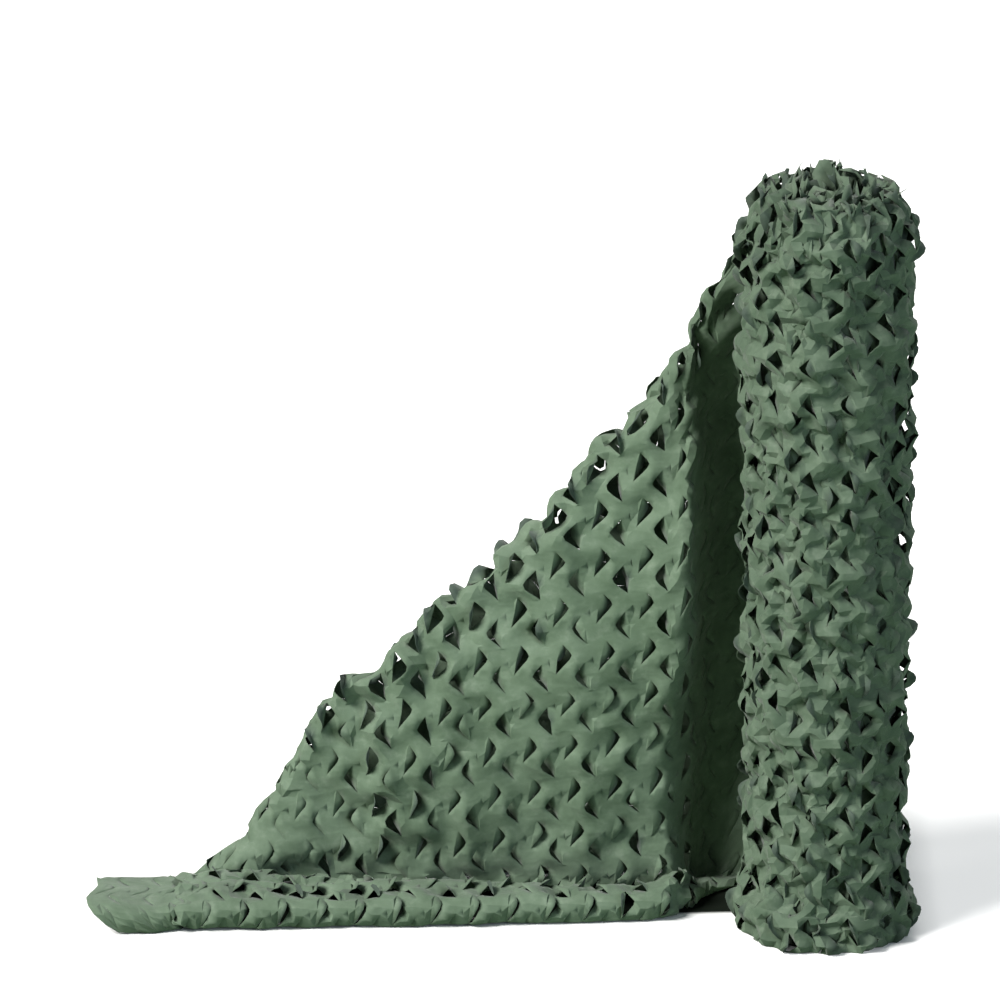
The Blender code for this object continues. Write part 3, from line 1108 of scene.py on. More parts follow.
@dataclass(frozen=True)
class Fold:
    """A ridge or a trough of the cloth between two places.

    Attributes:
        out_a: distance out of its first end.
        up_a: height of its first end, below 0 on the toe.
        out_b: distance out of its other end.
        up_b: height of its other end.
        width: its half width.
        height: its height, below 0 for a trough.
    """

    out_a: float
    up_a: float
    out_b: float
    up_b: float
    width: float
    height: float

    def rise(self, out: Array, up: Array) -> Array:
        """Read the fold's height.

        Args:
            out: distances out from the roll.
            up: heights up the face.

        Returns:
            How far the fold lifts the cloth there.
        """
        dx, dz = self.out_b - self.out_a, self.up_b - self.up_a
        size = math.hypot(dx, dz)
        along = ((out - self.out_a) * dx + (up - self.up_a) * dz) / size
        beside = ((out - self.out_a) * dz - (up - self.up_a) * dx) / size
        fade = 0.35 * size
        ends = smooth(along / fade) * falling(along, size, fade)
        return self.height * ends * hump(beside, self.width)


@dataclass(frozen=True)
class Drape:
    """How the loose end stands: a leaning face, a toe on the ground, and a flap over its crest.

    Attributes:
        sections: the face, toe and fold at each distance out from the roll.
        crest: the crest's height in the face's own slanting axes.
        drop: how far the rows of cuts sink below level at each distance out.
        reach: distance out at each length along the cloth.
        folds: the ridges and troughs of the face and the toe.
        corner: distance out, at each height, where the face turns back into the shade of the roll.
        tip: how far back the tip's outline lies, from the bend to the front edge.
        slant: slope of the crest.
        lean: how far the columns lean outwards for each metre up them.
        foot: radius of the bend between the toe and the face.
        hem: radius of the toe's rounded front edge.
        ground: height of the lowest cloth.
        deep: depth of the shade beside the roll that the face turns back into.
        roll_back: radius of the roll's back, which the sheet keeps clear of.
        roll_lean: sideways lean of the roll's top.
        uneven: small unevenness of the crest.
    """

    sections: dict[str, Column]
    crest: dict[str, Column]
    drop: dict[str, Column]
    reach: dict[str, Column]
    folds: tuple[Fold, ...]
    corner: dict[str, Column]
    tip: dict[str, Column]
    slant: float = math.radians(47.0)
    lean: float = 0.117
    foot: float = 0.022
    hem: float = 0.0272
    ground: float = 0.0016
    deep: float = 0.250
    roll_back: float = 0.1762
    roll_lean: float = -0.012
    uneven: Ripple = Ripple(9, 0.042, 0.110)

    def crest_d(self, s: Array) -> Array:
        """The crest's height in the slanting axes, with its small unevenness."""
        return self.crest["d"].at(s) + self.uneven.at(s, s * 0.0) * 0.0055

    def fold_rise(self, out: Array, up: Array) -> Array:
        """How far all the folds together lift the cloth."""
        return sum(fold.rise(out, up) for fold in self.folds)

    def clear_of_roll(self, out: Array, y: Array, z: Array, hug: Array | float) -> Array:
        """Keep the sheet clear of the roll.

        Args:
            out: distances out from the roll's axis.
            y: depths of the sheet.
            z: heights of the sheet.
            hug: share to which the sheet is laid on the roll's back.

        Returns:
            The depths, clear of the roll.
        """
        reach = self.roll_back + 0.022 * rising(out, 0.06, 0.07)
        off = out + self.roll_lean * z / NET_WIDTH
        on_roll = np.sqrt(np.maximum(reach * reach - off * off, 0.0))
        clear = np.maximum(y, on_roll)
        return np.where(np.abs(off) >= reach, y, clear + (on_roll - clear) * hug)

    def face_y(self, out: Array, z: Array, turned: float = 1.0) -> Array:
        """Find how far back the standing face is.

        Args:
            out: distances out from the roll.
            z: heights over the ground.
            turned: share to which the face turns back into the shade of the roll.

        Returns:
            Its depths.
        """
        s = {name: column.at(out) for name, column in self.sections.items()}
        share = z / s["crest_z"]
        low = s["foot_y"] + (s["mid_y"] - s["foot_y"]) * smooth(share * 2.0)
        high = s["mid_y"] + (s["crest_y"] - s["mid_y"]) * smooth(share * 2.0 - 1.0)
        hug = 1.0 - rising(out, 0.02, 0.08)
        y = np.where(share < 0.5, low, high)
        inner = falling(out, self.corner["out"].at(z), 0.110)
        inner *= turned * (1.0 - 0.75 * rising(share, 0.70, 0.30))
        y = y + (np.maximum(self.deep, y) - y) * inner
        return self.clear_of_roll(out, y, z, hug)

    def front(self, out: Array, up: Array) -> tuple[Array, Array]:
        """Lay the toe and the face.

        Args:
            out: distances out from the roll.
            up: lengths of cloth up from the foot, below 0 on the toe.

        Returns:
            Depths and heights.
        """
        toe = self.sections["toe"].at(out)
        foot_y = self.face_y(out, out * 0.0)
        foot = self.foot + 0.028 * rising(out, 0.85, 0.20)
        radius = np.maximum(np.minimum(foot, toe), 1e-4)
        rise = self.fold_rise(out, up)
        stand_y = self.face_y(out, np.maximum(up, 0.0)) - rise
        below = np.maximum(radius - np.maximum(up, -toe), 0.0)
        quarter = 0.5 * math.pi * radius
        angle = np.minimum(below / radius, 0.5 * math.pi)
        over = np.maximum(below - quarter, 0.0)
        lie_y = foot_y - radius * (1.0 - np.cos(angle)) - over - np.maximum(rise, 0.0) * 0.3
        share = np.clip(-up / np.maximum(toe, 0.01), 0.0, 1.0)
        puff = (0.002 + 0.006 * rising(out, 1.05, 0.25)) * np.sin(math.pi * share) ** 0.7
        hem = self.hem * (0.25 + 0.75 * rising(out, 0.20, 0.13))
        edge = 2.0 * hem * smooth(below / 0.075)
        lie_z = radius * (1.0 - np.sin(angle)) + np.maximum(rise, 0.0) + puff + edge
        under = np.maximum(-toe - up, 0.0)
        bend = np.minimum(under / hem, math.pi)
        lie_y += np.maximum(under - math.pi * hem, 0.0) - hem * np.sin(bend)
        lie_z -= hem * (1.0 - np.cos(bend))
        mix = smooth((up - radius + 0.004) / 0.008)
        y = lie_y + (stand_y - lie_y) * mix
        z = np.where(up >= radius, up, lie_z) + self.ground
        return y, z

    def back(self, out: Array, up: Array, gap: Array) -> tuple[Array, Array]:
        """Lay the flap, hanging and then lying on the ground behind.

        Args:
            out: distances out from the roll.
            up: heights that the cloth would hang at without the ground.
            gap: distance between the face and the flap at the crest.

        Returns:
            Depths and heights.
        """
        crest_z = self.sections["crest_z"].at(out)
        spread = self.sections["spread"].at(out)
        radius = np.maximum(np.minimum(self.foot, crest_z * 0.4), 1e-4)
        share = np.clip(1.0 - up / np.maximum(crest_z, 0.01), 0.0, 1.0)
        hang = gap + (spread - gap) * share
        base = self.face_y(out, np.maximum(up, 0.0), 0.0) + hang
        below = np.maximum(radius - up, 0.0)
        angle = np.minimum(below / radius, 0.5 * math.pi)
        over = np.maximum(below - 0.5 * math.pi * radius, 0.0)
        limit = 0.150
        lying = limit * (1.0 - np.exp(-over / limit))
        y = base + radius * (1.0 - np.cos(angle)) + lying
        behind = falling(out, 0.52, 0.20) * smooth(share / 0.35)
        y = y + (np.maximum(y, self.deep + 0.040) - y) * behind
        z = np.where(up >= radius, up, radius * (1.0 - np.sin(angle))) + self.ground
        return y, z

    def on_face(self, along: Array, across: Array) -> tuple[Array, Array]:
        """Place the cloth on the face as if it were not folded over the crest.

        Args:
            along: places along the cloth.
            across: places across the cloth.

        Returns:
            Distances out from the roll, and heights up the face.
        """
        out = self.reach["out"].at(along + self.lean * across * smooth(along))
        toe = self.sections["toe"].at(out)
        drop = self.drop["drop"].at(out)
        return out, across - (toe + (drop - toe) * smooth(across / 0.55))

    def past_crest(self, along: Array, across: Array) -> Array:
        """Tell which cloth has passed the crest.

        Args:
            along: places along the cloth.
            across: places across the cloth.

        Returns:
            How far it lies beyond the crest, below 0 on the face.
        """
        out, up = self.on_face(along, across)
        s = out * math.cos(self.slant) - up * math.sin(self.slant)
        return out * math.sin(self.slant) + up * math.cos(self.slant) - self.crest_d(s)

    def place(self, along: Array, across: Array) -> Array:
        """Middle surface of the loose cloth.

        Args:
            along: places along the cloth, positive away from the roll.
            across: places across the cloth.

        Returns:
            Points in space.
        """
        cos, sin = math.cos(self.slant), math.sin(self.slant)
        out, up = self.on_face(along, across)
        s = out * cos - up * sin
        d = out * sin + up * cos
        crest = self.crest_d(s)
        at_crest = s * cos + crest * sin
        gap = self.sections["gap"].at(at_crest)
        rho = gap * 0.5
        excess = d - crest + rho
        turn = np.clip(excess / rho, 0.0, math.pi) - 0.5 * math.pi
        over = np.maximum(excess - math.pi * rho, 0.0)
        bent = crest - rho + rho * np.cos(turn) - over
        d_in = np.where(excess > 0.0, bent, d)
        out_in = s * cos + d_in * sin
        up_in = d_in * cos - s * sin
        front_y, front_z = self.front(out_in, up_in)
        back_y, back_z = self.back(out_in, up_in, gap)
        mix = 0.5 * (1.0 + np.sin(turn))
        y = front_y + (back_y - front_y) * mix
        z = front_z + (back_z - front_z) * mix
        y = self.clear_of_roll(out_in, y, z, 0.0)
        tip = rising(out_in, 1.24, 0.20)
        toe = self.sections["toe"].at(out_in)
        front_share = np.clip(-up_in / (toe + math.pi * self.hem), 0.0, 1.0) * (turn < 0.0)
        out_in = out_in - tip * self.tip["back"].at(front_share)
        return np.stack([-out_in, y, z], axis=-1)


@dataclass(frozen=True)
class Lie(Surface):
    """Where the whole cloth lies, on the roll and off it."""

    winding: Winding
    drape: Drape

    ground = 0.0008

    def place(self, along: Array, across: Array) -> Array:
        """Middle surface of the cloth, blended where it leaves the roll.

        Args:
            along: places along the cloth, negative on the roll.
            across: places across the cloth.

        Returns:
            Points in space.
        """
        wound = self.winding.place(np.minimum(along, 0.06), across)
        loose = self.drape.place(np.maximum(along, 0.0), across)
        mix = rising(along, -0.03, 0.09)[..., None]
        return wound * (1.0 - mix) + (loose + np.minimum(along, 0.0)[..., None] * [-1.0, 0, 0]) * mix


# ---- Finishes ----


def new_group(name: str, gives: tuple[str, ...], takes: tuple[tuple[str, float], ...]) -> NodeTree:
    """Make a shader node group that reads a place and named values.

    Args:
        name: the group's name.
        gives: names of its outputs, all values.
        takes: names and usual values of its inputs after Place.

    Returns:
        The group's tree, with its input and output nodes in it.
    """
    tree = bpy.data.node_groups.new(name, "ShaderNodeTree")
    tree.interface.new_socket("Place", in_out="INPUT", socket_type="NodeSocketVector")
    for label, value in takes:
        socket = tree.interface.new_socket(label, in_out="INPUT", socket_type="NodeSocketFloat")
        socket.default_value = value
    for label in gives:
        tree.interface.new_socket(label, in_out="OUTPUT", socket_type="NodeSocketFloat")
    tree.nodes.new("NodeGroupInput")
    tree.nodes.new("NodeGroupOutput")
    return tree


@dataclass(frozen=True)
class Weave:
    """Plain weave with slack threads and soft creases, as the height that a bump reads.

    Attributes:
        thread: width of a thread.
        relief: height of the weave.
        crease: height of the creases.
        turn: how far the creases are turned from the cloth's length, in radians.
    """

    thread: float = 0.0011
    relief: float = 0.00006
    crease: float = 0.006
    turn: float = math.radians(-20.0)

    def group(self) -> NodeTree:
        """Build the shader node group: Thread and Crease in, Height and Nap out.

        Returns:
            The group's tree.
        """
        takes = (("Thread", self.thread), ("Crease", 1.0))
        tree = new_group("weave", ("Height", "Nap"), takes)
        bench = NodeBench(tree)
        given, result = tree.nodes["Group Input"], tree.nodes["Group Output"]
        parts = bench.add("ShaderNodeSeparateXYZ")
        bench.feed(parts.inputs[0], given.outputs["Place"])
        waves = []
        for axis in (0, 1):
            count = bench.maths("DIVIDE", parts.outputs[axis], given.outputs["Thread"])
            waves.append(bench.maths("SINE", bench.maths("MULTIPLY", count, 2.0 * math.pi)))
        over = bench.maths("MULTIPLY", waves[0], waves[1])
        slack = bench.noise(given.outputs["Place"], 420.0, 2.0)
        thread = bench.maths("MULTIPLY", bench.maths("ADD", over, slack), self.relief)
        stretched = bench.add("ShaderNodeMapping")
        bench.feed(stretched.inputs["Vector"], given.outputs["Place"])
        stretched.inputs["Rotation"].default_value = (0.0, 0.0, self.turn)
        stretched.inputs["Scale"].default_value = (0.45, 1.0, 1.0)
        crease = self.ridges(bench, stretched.outputs[0], 17.0)
        small = self.ridges(bench, stretched.outputs[0], 52.0)
        folds = bench.maths("ADD", crease, bench.maths("MULTIPLY", small, 0.3))
        fold = bench.maths("MULTIPLY", folds, self.crease)
        fold = bench.maths("MULTIPLY", fold, given.outputs["Crease"])
        bench.feed(result.inputs["Height"], bench.maths("ADD", thread, fold))
        bench.feed(result.inputs["Nap"], slack)
        return tree

    def ridges(self, bench: NodeBench, where: Socket, scale: float) -> Socket:
        """Height of sharp-edged folds of one size."""
        off = bench.maths("SUBTRACT", bench.noise(where, scale, 1.0), 0.5)
        return bench.maths("SUBTRACT", 0.5, bench.maths("ABSOLUTE", off))


@dataclass(frozen=True)
class DyeLot:
    """Slow uneven shade of dyed cloth, with its rubbed and dusty places."""

    def group(self) -> NodeTree:
        """Build the shader node group: Depth in, Shade and Dust out.

        Returns:
            The group's tree.
        """
        tree = new_group("dye_lot", ("Shade", "Dust"), (("Depth", 1.0),))
        bench = NodeBench(tree)
        given, result = tree.nodes["Group Input"], tree.nodes["Group Output"]
        slow = bench.noise(given.outputs["Place"], 5.0, 2.0)
        mid = bench.noise(given.outputs["Place"], 32.0, 3.0, 0.6)
        shade = bench.maths("ADD", bench.maths("MULTIPLY", slow, 0.55), bench.maths("MULTIPLY", mid, 0.45))
        shade = bench.ranged(shade, 0.34, 0.66, (0.0, 1.0))
        centred = bench.maths("MULTIPLY", bench.maths("SUBTRACT", shade, 0.5), given.outputs["Depth"])
        bench.feed(result.inputs["Shade"], bench.maths("ADD", centred, 0.5))
        bench.feed(result.inputs["Dust"], bench.ranged(mid, 0.55, 0.75, (0.0, 1.0)))
        return tree


@dataclass(frozen=True)
class ClothFinish:
    """Matt dyed woven cloth.

    Attributes:
        name: the material's name.
        deep: the darker shade of the dye.
        pale: the lighter shade of the dye.
        painted_leaf_shade: painted shade, a dark colour that stands in for the shade on the leaves that are
            thrown open.
        back: how much of that painted shade shows on them.
        rough: roughness of the weave.
        crease: depth of the soft creases.
    """

    name: str
    deep: tuple[float, float, float]
    pale: tuple[float, float, float]
    painted_leaf_shade: tuple[float, float, float]
    back: float = 0.85
    rough: float = 0.70
    crease: float = 1.0

    def material(self, weave: NodeTree, dye: NodeTree) -> Material:
        """Build the material.

        Args:
            weave: the weave's node group.
            dye: the dye's node group.

        Returns:
            The material.
        """
        made = bpy.data.materials.new(self.name)
        made.use_nodes = True
        tree = made.node_tree
        bench = NodeBench(tree)
        shader = tree.nodes["Principled BSDF"]
        place = bench.add("ShaderNodeAttribute", attribute_name="flat").outputs["Vector"]
        woven = bench.add("ShaderNodeGroup", node_tree=weave)
        dyed = bench.add("ShaderNodeGroup", node_tree=dye)
        bench.feed(woven.inputs["Place"], place)
        bench.feed(dyed.inputs["Place"], place)
        woven.inputs["Crease"].default_value = self.crease
        colour = bench.blend(dyed.outputs["Shade"], (*self.deep, 1.0), (*self.pale, 1.0))
        dusty = bench.maths("MULTIPLY", dyed.outputs["Dust"], 0.14)
        colour = bench.blend(dusty, colour, (0.30, 0.34, 0.28, 1.0))
        # Painted shade: leaves that turn far open are darkened to a dull colour that stands in for the
        # shade they lie in.
        turned = bench.add("ShaderNodeAttribute", attribute_name="turned").outputs["Fac"]
        colour = bench.blend(bench.maths("MULTIPLY", turned, self.back), colour, (*self.painted_leaf_shade, 1.0))
        bench.feed(shader.inputs["Base Color"], colour)
        rough = bench.ranged(woven.outputs["Nap"], 0.3, 0.7, (self.rough - 0.06, self.rough + 0.06))
        bench.feed(shader.inputs["Roughness"], rough)
        shader.inputs["Specular IOR Level"].default_value = 0.28
        shader.inputs["Sheen Weight"].default_value = 0.12
        shader.inputs["Sheen Roughness"].default_value = 0.5
        bump = bench.add("ShaderNodeBump")
        bump.inputs["Strength"].default_value = 1.0
        bump.inputs["Distance"].default_value = 1.0
        bench.feed(bump.inputs["Height"], woven.outputs["Height"])
        bench.feed(shader.inputs["Normal"], bump.outputs["Normal"])
        return made


# ---- The pieces ----


def store_flat(mesh: Mesh, laid: Array) -> None:
    """Keep each point's flat place, which the cloth's finish reads."""
    layer = mesh.attributes.new("flat", "FLOAT_VECTOR", "POINT")
    layer.data.foreach_set("vector", np.column_stack([laid, np.zeros(len(laid))]).ravel())


@dataclass
class ClothMaker:
    """Turns a flat length into a finished piece.

    Attributes:
        tree: the node tree that repeats the pattern's cell.
        settling: what settles the cloth once it is laid.
        thickness: thickness of the cloth.
        crisp: angle from which a fold has a crisp edge.
    """

    tree: NodeTree
    settling: Settling = Settling()
    thickness: float = 0.0009
    crisp: float = math.radians(24.0)

    def piece(
        self,
        length: Length,
        leaves: Leaves,
        lie: Surface,
        flat_mesh: Mesh,
        thick: bool = True,
    ) -> Object:
        """Make one piece of cloth.

        Args:
            length: the flat length.
            leaves: how its leaves move.
            lie: where the cloth lies.
            flat_mesh: the length's flat mesh, which has its finish.
            thick: whether the cloth is given its thickness.

        Returns:
            The piece.
        """
        laid, rise, flat = length.moved(flat_mesh, leaves)
        points = lie.raised(laid, rise)
        scale = np.array(length.slack)
        eased = scale * length.ease
        points = self.settling.settle(flat_mesh, points, flat / scale, eased, leaves, lie)
        flat_mesh.vertices.foreach_set("co", points.ravel())
        store_flat(flat_mesh, flat)
        flat_mesh.name = length.name
        flat_mesh.update()
        flat_mesh.polygons.foreach_set("use_smooth", [True] * len(flat_mesh.polygons))
        flat_mesh.set_sharp_from_angle(angle=self.crisp)
        obj = put(length.name, flat_mesh)
        if thick:
            wall = obj.modifiers.new("thickness", "SOLIDIFY")
            wall.thickness = self.thickness
            wall.offset = 0.0
            wall.use_even_offset = False
        return obj


@dataclass(frozen=True)
class Zones:
    """Which part of the loose end places on the cloth lie in.

    Attributes:
        out: distance out from the roll.
        up: height up the face, below 0 on the toe.
        past: how far beyond the crest, below 0 on the face.
        crest: closeness to the disturbed cloth at the crest and low on the face.
        calm: closeness to the smooth cloth at the left.
        toe: closeness to the toe.
        wound: share to which it is still on the roll.
    """

    out: Array
    up: Array
    past: Array
    crest: Array
    calm: Array
    toe: Array
    wound: Array


@dataclass
class LooseEnd:
    """The loose end: one net standing as a face, with its toe in front and its flap behind.

    Attributes:
        cell: the pattern's cell.
        lie: where the cloth lies.
        columns: cells along it.
        seed: what fixes its leaves' chances.
        turned_from: place along it from which a row less hangs behind.
        hemmed_from: place along it from which a row is turned under.
        slow: slow unevenness of the cloth.
        quick: quicker unevenness of the cloth.
    """

    cell: Cell
    lie: Lie
    columns: int = 22
    seed: int = 11
    turned_from: float = 0.340
    hemmed_from: float = 0.200
    slow: Ripple = Ripple(3, 0.16, 0.42)
    quick: Ripple = Ripple(4, 0.060, 0.130)

    def length(self) -> Length:
        """Cut the length, which starts a column back on the roll and has a row to turn under.

        Returns:
            The flat length.
        """
        start = -self.cell.width
        rows, ease = 17, (0.975, 1.06)
        return Length("loose_net", self.cell, self.columns, rows, start, self.seed, first_row=-1, ease=ease)

    def trim(self, length: Length, mesh: Mesh) -> None:
        """Cut the selvages: nothing is turned under beside the roll, and less hangs behind.

        Args:
            length: the flat length.
            mesh: its flat mesh.
        """
        along, across = length.points(mesh)
        bm = bmesh.new()
        bm.from_mesh(mesh)
        gone = []
        for face in bm.faces:
            numbers = [v.index for v in face.verts]
            u, v = along[numbers].mean(), across[numbers].mean()
            if v < -0.002 and u < self.hemmed_from:
                gone.append(face)
            elif v > NET_WIDTH - (length.cell.height if u > self.turned_from else 0.0):
                gone.append(face)
        bmesh.ops.delete(bm, geom=gone, context="FACES")
        bm.to_mesh(mesh)
        bm.free()

    def zones(self, along: Array, across: Array) -> Zones:
        """Tell the zones of the cloth.

        Args:
            along: places along the cloth.
            across: places across the cloth.

        Returns:
            The zones at those places.
        """
        drape = self.lie.drape
        out, up = drape.on_face(along, across)
        past = drape.past_crest(along, across)
        crest = hump(np.minimum(past, 0.0), 0.110) * falling(out, 1.08, 0.16)
        crest = np.minimum(crest + 0.75 * mound(out, up, (0.88, 0.20), (0.13, 0.17)), 1.0)
        calm = 1.25 * mound(out, up, (1.09, 0.18), (0.15, 0.16))
        calm = np.maximum(np.minimum(calm, 1.0), rising(out, 1.16, 0.10))
        return Zones(out, up, past, crest, calm, falling(up, 0.05, 0.08), 1.0 - rising(out, 0.09, 0.04))

    def beside_roll(self, zone: Zones, end: float, fade: float) -> Array:
        """Closeness to the plain strip beside the roll, which fades out at `end`."""
        strip = falling(zone.out, end, fade) * rising(zone.out, 0.11, 0.03)
        return strip * (1.0 - rising(zone.past, -0.06, 0.04))

    def openness(self, zone: Zones) -> Array:
        """Tell how far the cuts may open, which is little at the tip, on the flap and under the hem.

        Args:
            zone: the leaves' zones.

        Returns:
            Share of the full opening.
        """
        still = (1.0 - 0.90 * zone.calm) * (1.0 - 0.9 * rising(zone.out, 1.30, 0.05))
        flap = rising(zone.past, 0.020, 0.035)
        share = still * (1.0 - 0.97 * flap) * (1.0 - self.beside_roll(zone, 0.29, 0.05))
        share *= 1.0 - 0.6 * falling(zone.out, 0.28, 0.06) * rising(zone.up, 0.9, 0.1)
        under = -zone.up - self.lie.drape.sections["toe"].at(zone.out)
        return share * (1.0 - 0.9 * rising(under, 0.040, 0.020))

    def body(self, along: Array, across: Array) -> tuple[Array, Array, Array]:
        """Tell how the cloth itself moves, whatever its leaves do.

        Args:
            along: places along the cloth.
            across: places across the cloth.

        Returns:
            Its waves, its slack, and the share to which it keeps its size.
        """
        zone = self.zones(along, across)
        restless = 1.0 - zone.calm
        wave = self.slow.at(along, across) * 0.0030
        wave += self.quick.at(along, across) * (0.0020 + 0.0055 * zone.crest) * (1.0 - 0.6 * zone.calm)
        loose = 0.012 + 0.080 * np.maximum(zone.crest, zone.wound)
        taut = np.maximum(rising(zone.out, 0.34, 0.10), zone.wound)
        slack = 1.0 + (loose + 0.03 * zone.toe) * restless * taut
        at_tip = rising(zone.out, 1.30, 0.10)
        on_flap = 0.8 * rising(zone.past, 0.05, 0.05) * rising(zone.out, 0.15, 0.05)
        at_edge = 0.5 * hump(zone.past, 0.050) * restless
        held = np.maximum(self.beside_roll(zone, 0.28, 0.04), at_tip)
        for share in (on_flap, at_edge, 0.35 * zone.crest):
            held = np.maximum(held, share)
        return wave, slack, held

    def leaves(self, length: Length, mesh: Mesh) -> Leaves:
        """How the leaves of the loose end move.

        Args:
            length: the flat length.
            mesh: its flat mesh.

        Returns:
            The movement, by leaf and by point.
        """
        zone = self.zones(*length.leaf_centres())
        crest, toe, openness = zone.crest, zone.toe, self.openness(zone)
        edge = hump(zone.past, 0.045) * (1.0 - zone.calm)
        rest = 0.38 + 0.30 * rising(zone.up, 0.10, 0.35)
        curl = ((rest + 0.20 * crest) * (1.0 - 0.1 * toe)) * openness
        bend = hump(zone.up, 0.05)
        stand = ((0.14 + 0.60 * crest) + 0.32 * toe + 0.60 * edge + 0.1 * bend) * openness
        gape = (0.0030 + 0.0075 * crest + 0.0065 * toe) * openness
        sink = (0.0072 + 0.0095 * crest) * (1.0 + 0.2 * toe) * openness
        lift = (0.0015 + 0.0065 * crest + 0.0040 * toe) * openness
        thrown = (0.04 + 0.55 * crest + 0.80 * edge + 0.14 * toe) * openness
        outward = np.clip(0.80 - 0.74 * toe - 0.05 * crest - 0.70 * edge, 0.0, 1.0)
        for values, as_wound in ((stand, 0.45), (sink, 0.010), (lift, 0.009), (thrown, 0.5)):
            values += (as_wound - values) * zone.wound
        wave, slack, held = self.body(*length.points(mesh))
        return Leaves(stand, curl, gape, sink, thrown, lift, outward, wave, slack, held)

    def build(self, maker: ClothMaker, finish: Material) -> Object:
        """Args:
            maker: what makes the cloth.
            finish: its finish.

        Returns:
            The loose end.
        """
        length = self.length()
        mesh = length.flat_mesh(maker.tree, finish)
        self.trim(length, mesh)
        piece = maker.piece(length, self.leaves(length, mesh), self.lie, mesh)
        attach(piece, "root")
        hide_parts("loose_end")
        return piece


@dataclass
class RollTop(Surface):
    """Where the upper edges of the inner turns lie: a spiral strip leaning in over the dome.

    Attributes:
        dome: height of the domed top at each distance from the axis.
        rim: distance of the strip's outer end from the axis.
        eye: distance of its inner end.
        pitch: how much nearer the axis it comes in a turn.
        lean: sideways lean of the roll's top.
        ragged: unevenness of the edges.
    """

    dome: dict[str, Column]
    rim: float = 0.128
    eye: float = 0.015
    pitch: float = 0.030
    lean: float = -0.012
    ragged: Ripple = Ripple(21, 0.10, 0.34)

    def total(self) -> float:
        """Length of the spiral."""
        return math.pi * (self.rim**2 - self.eye**2) / self.pitch

    def place(self, along: Array, across: Array) -> Array:
        """Middle surface of the wound strip.

        Args:
            along: length along the spiral from its outer end.
            across: height up the strip.

        Returns:
            Points in space.
        """
        r = np.sqrt(np.maximum(self.rim**2 - along * self.pitch / math.pi, self.eye**2 * 0.2))
        angle = 2.0 * math.pi * (self.rim - r) / self.pitch
        uneven = self.ragged.at(along, along * 0.0)
        tilt = 0.45 * uneven
        z = self.dome["z"].at(r) - 0.085 + 0.006 * uneven + across * np.cos(tilt)
        r = r - np.maximum(across - 0.045, 0.0) * np.sin(tilt)
        x = r * np.cos(-angle) + self.lean * z / NET_WIDTH
        return np.stack([x, r * np.sin(-angle), z], axis=-1)


@dataclass
class Roll:
    """The upright roll: its outer turns and the ruffled ends of its inner turns.

    Attributes:
        cell: the pattern's cell.
        lie: where the cloth of the turns lies.
        top: where the upper edges of the inner turns lie.
        turns: columns in one turn.
        rows: rows in the outer turn and in the next one.
        slack: how much more cloth than place there is along and across.
        slow: slow unevenness of the cloth.
        quick: quicker unevenness of the cloth.
    """

    cell: Cell
    lie: Lie
    top: RollTop
    turns: int = 14
    rows: tuple[int, int] = (20, 19)
    slack: tuple[float, float] = (1.00, 1.19)
    slow: Ripple = Ripple(7, 0.10, 0.30)
    quick: Ripple = Ripple(8, 0.060, 0.110)

    def leaves(self, length: Length, mesh: Mesh, strength: float) -> Leaves:
        """How the leaves of a turn move.

        Args:
            length: the flat length.
            mesh: its flat mesh.
            strength: share of the full movement.

        Returns:
            The movement, by leaf and by point.
        """
        along, across = length.leaf_centres()
        full = length.rows * length.cell.height / length.slack[1]
        ends = falling(across, 0.08, 0.08) + smooth((across - full + 0.20) / 0.12)
        patch = self.slow.at(along * 0.7, across)
        stand = np.clip(0.55 + 0.15 * patch + 0.40 * ends, 0.1, 1.5) * strength
        curl = np.clip(0.40 + 0.20 * patch, 0.1, 1.4) * strength
        gape = (0.0085 + 0.0015 * patch) * strength
        sink = (0.0100 + 0.0020 * patch) * strength
        lift = (0.0110 + 0.002 * patch) * strength
        thrown = np.clip(0.50 + 0.12 * patch + 0.25 * ends, 0.2, 0.8)
        outward = np.full(along.shape, 0.40) + 0.4 * ends
        u, v = length.points(mesh)
        wave = self.slow.at(u, v) * 0.0035 + self.quick.at(u, v) * 0.0035
        wave *= strength * (1.0 - rising(u, -0.08, 0.08))
        ends = falling(v, 0.07, 0.06) + 0.6 * smooth((v - full + 0.20) / 0.12)
        slack = 1.0 + 0.20 * ends
        return Leaves(stand, curl, gape, sink, thrown, lift, outward, wave, slack, np.zeros(len(u)))

    def turn(self, maker: ClothMaker, finish: Material, number: int, strength: float) -> Object:
        """Make one turn of the roll.

        Args:
            maker: what makes the cloth.
            finish: its finish.
            number: 1 for the outer turn.
            strength: share of the full movement of its leaves.

        Returns:
            The turn.
        """
        start = -self.cell.width * (1 + self.turns * number)
        name = f"roll_turn_{number}"
        rows = self.rows[number - 1]
        seed = 30 + number
        length = Length(name, self.cell, self.turns, rows, start, seed, teeth=0.045, slack=self.slack)
        mesh = length.flat_mesh(maker.tree, finish)
        leaves = self.leaves(length, mesh, strength)
        piece = maker.piece(length, leaves, self.lie, mesh, thick=number == 1)
        self.declare(piece)
        return piece

    def ends(self, maker: ClothMaker, finish: Material) -> Object:
        """Make the ruffled upper edges of the inner turns.

        Args:
            maker: what makes the cloth.
            finish: its finish.

        Returns:
            The edges, as one piece.
        """
        columns = int(1.15 * self.top.total() / self.cell.width)
        length = Length("roll_top_edges", self.cell, columns, 1, 0.0, 51, teeth=0.040, slack=(1.15, 1.0))
        mesh = length.flat_mesh(maker.tree, finish)
        piece = maker.piece(length, self.leaves(length, mesh, 0.85), self.top, mesh)
        self.declare(piece)
        return piece

    def declare(self, piece: Object) -> None:
        """Attach a wound piece to the root body and hide the imported roll.

        Args:
            piece: the piece.
        """
        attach(piece, "root")
        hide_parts("roll")


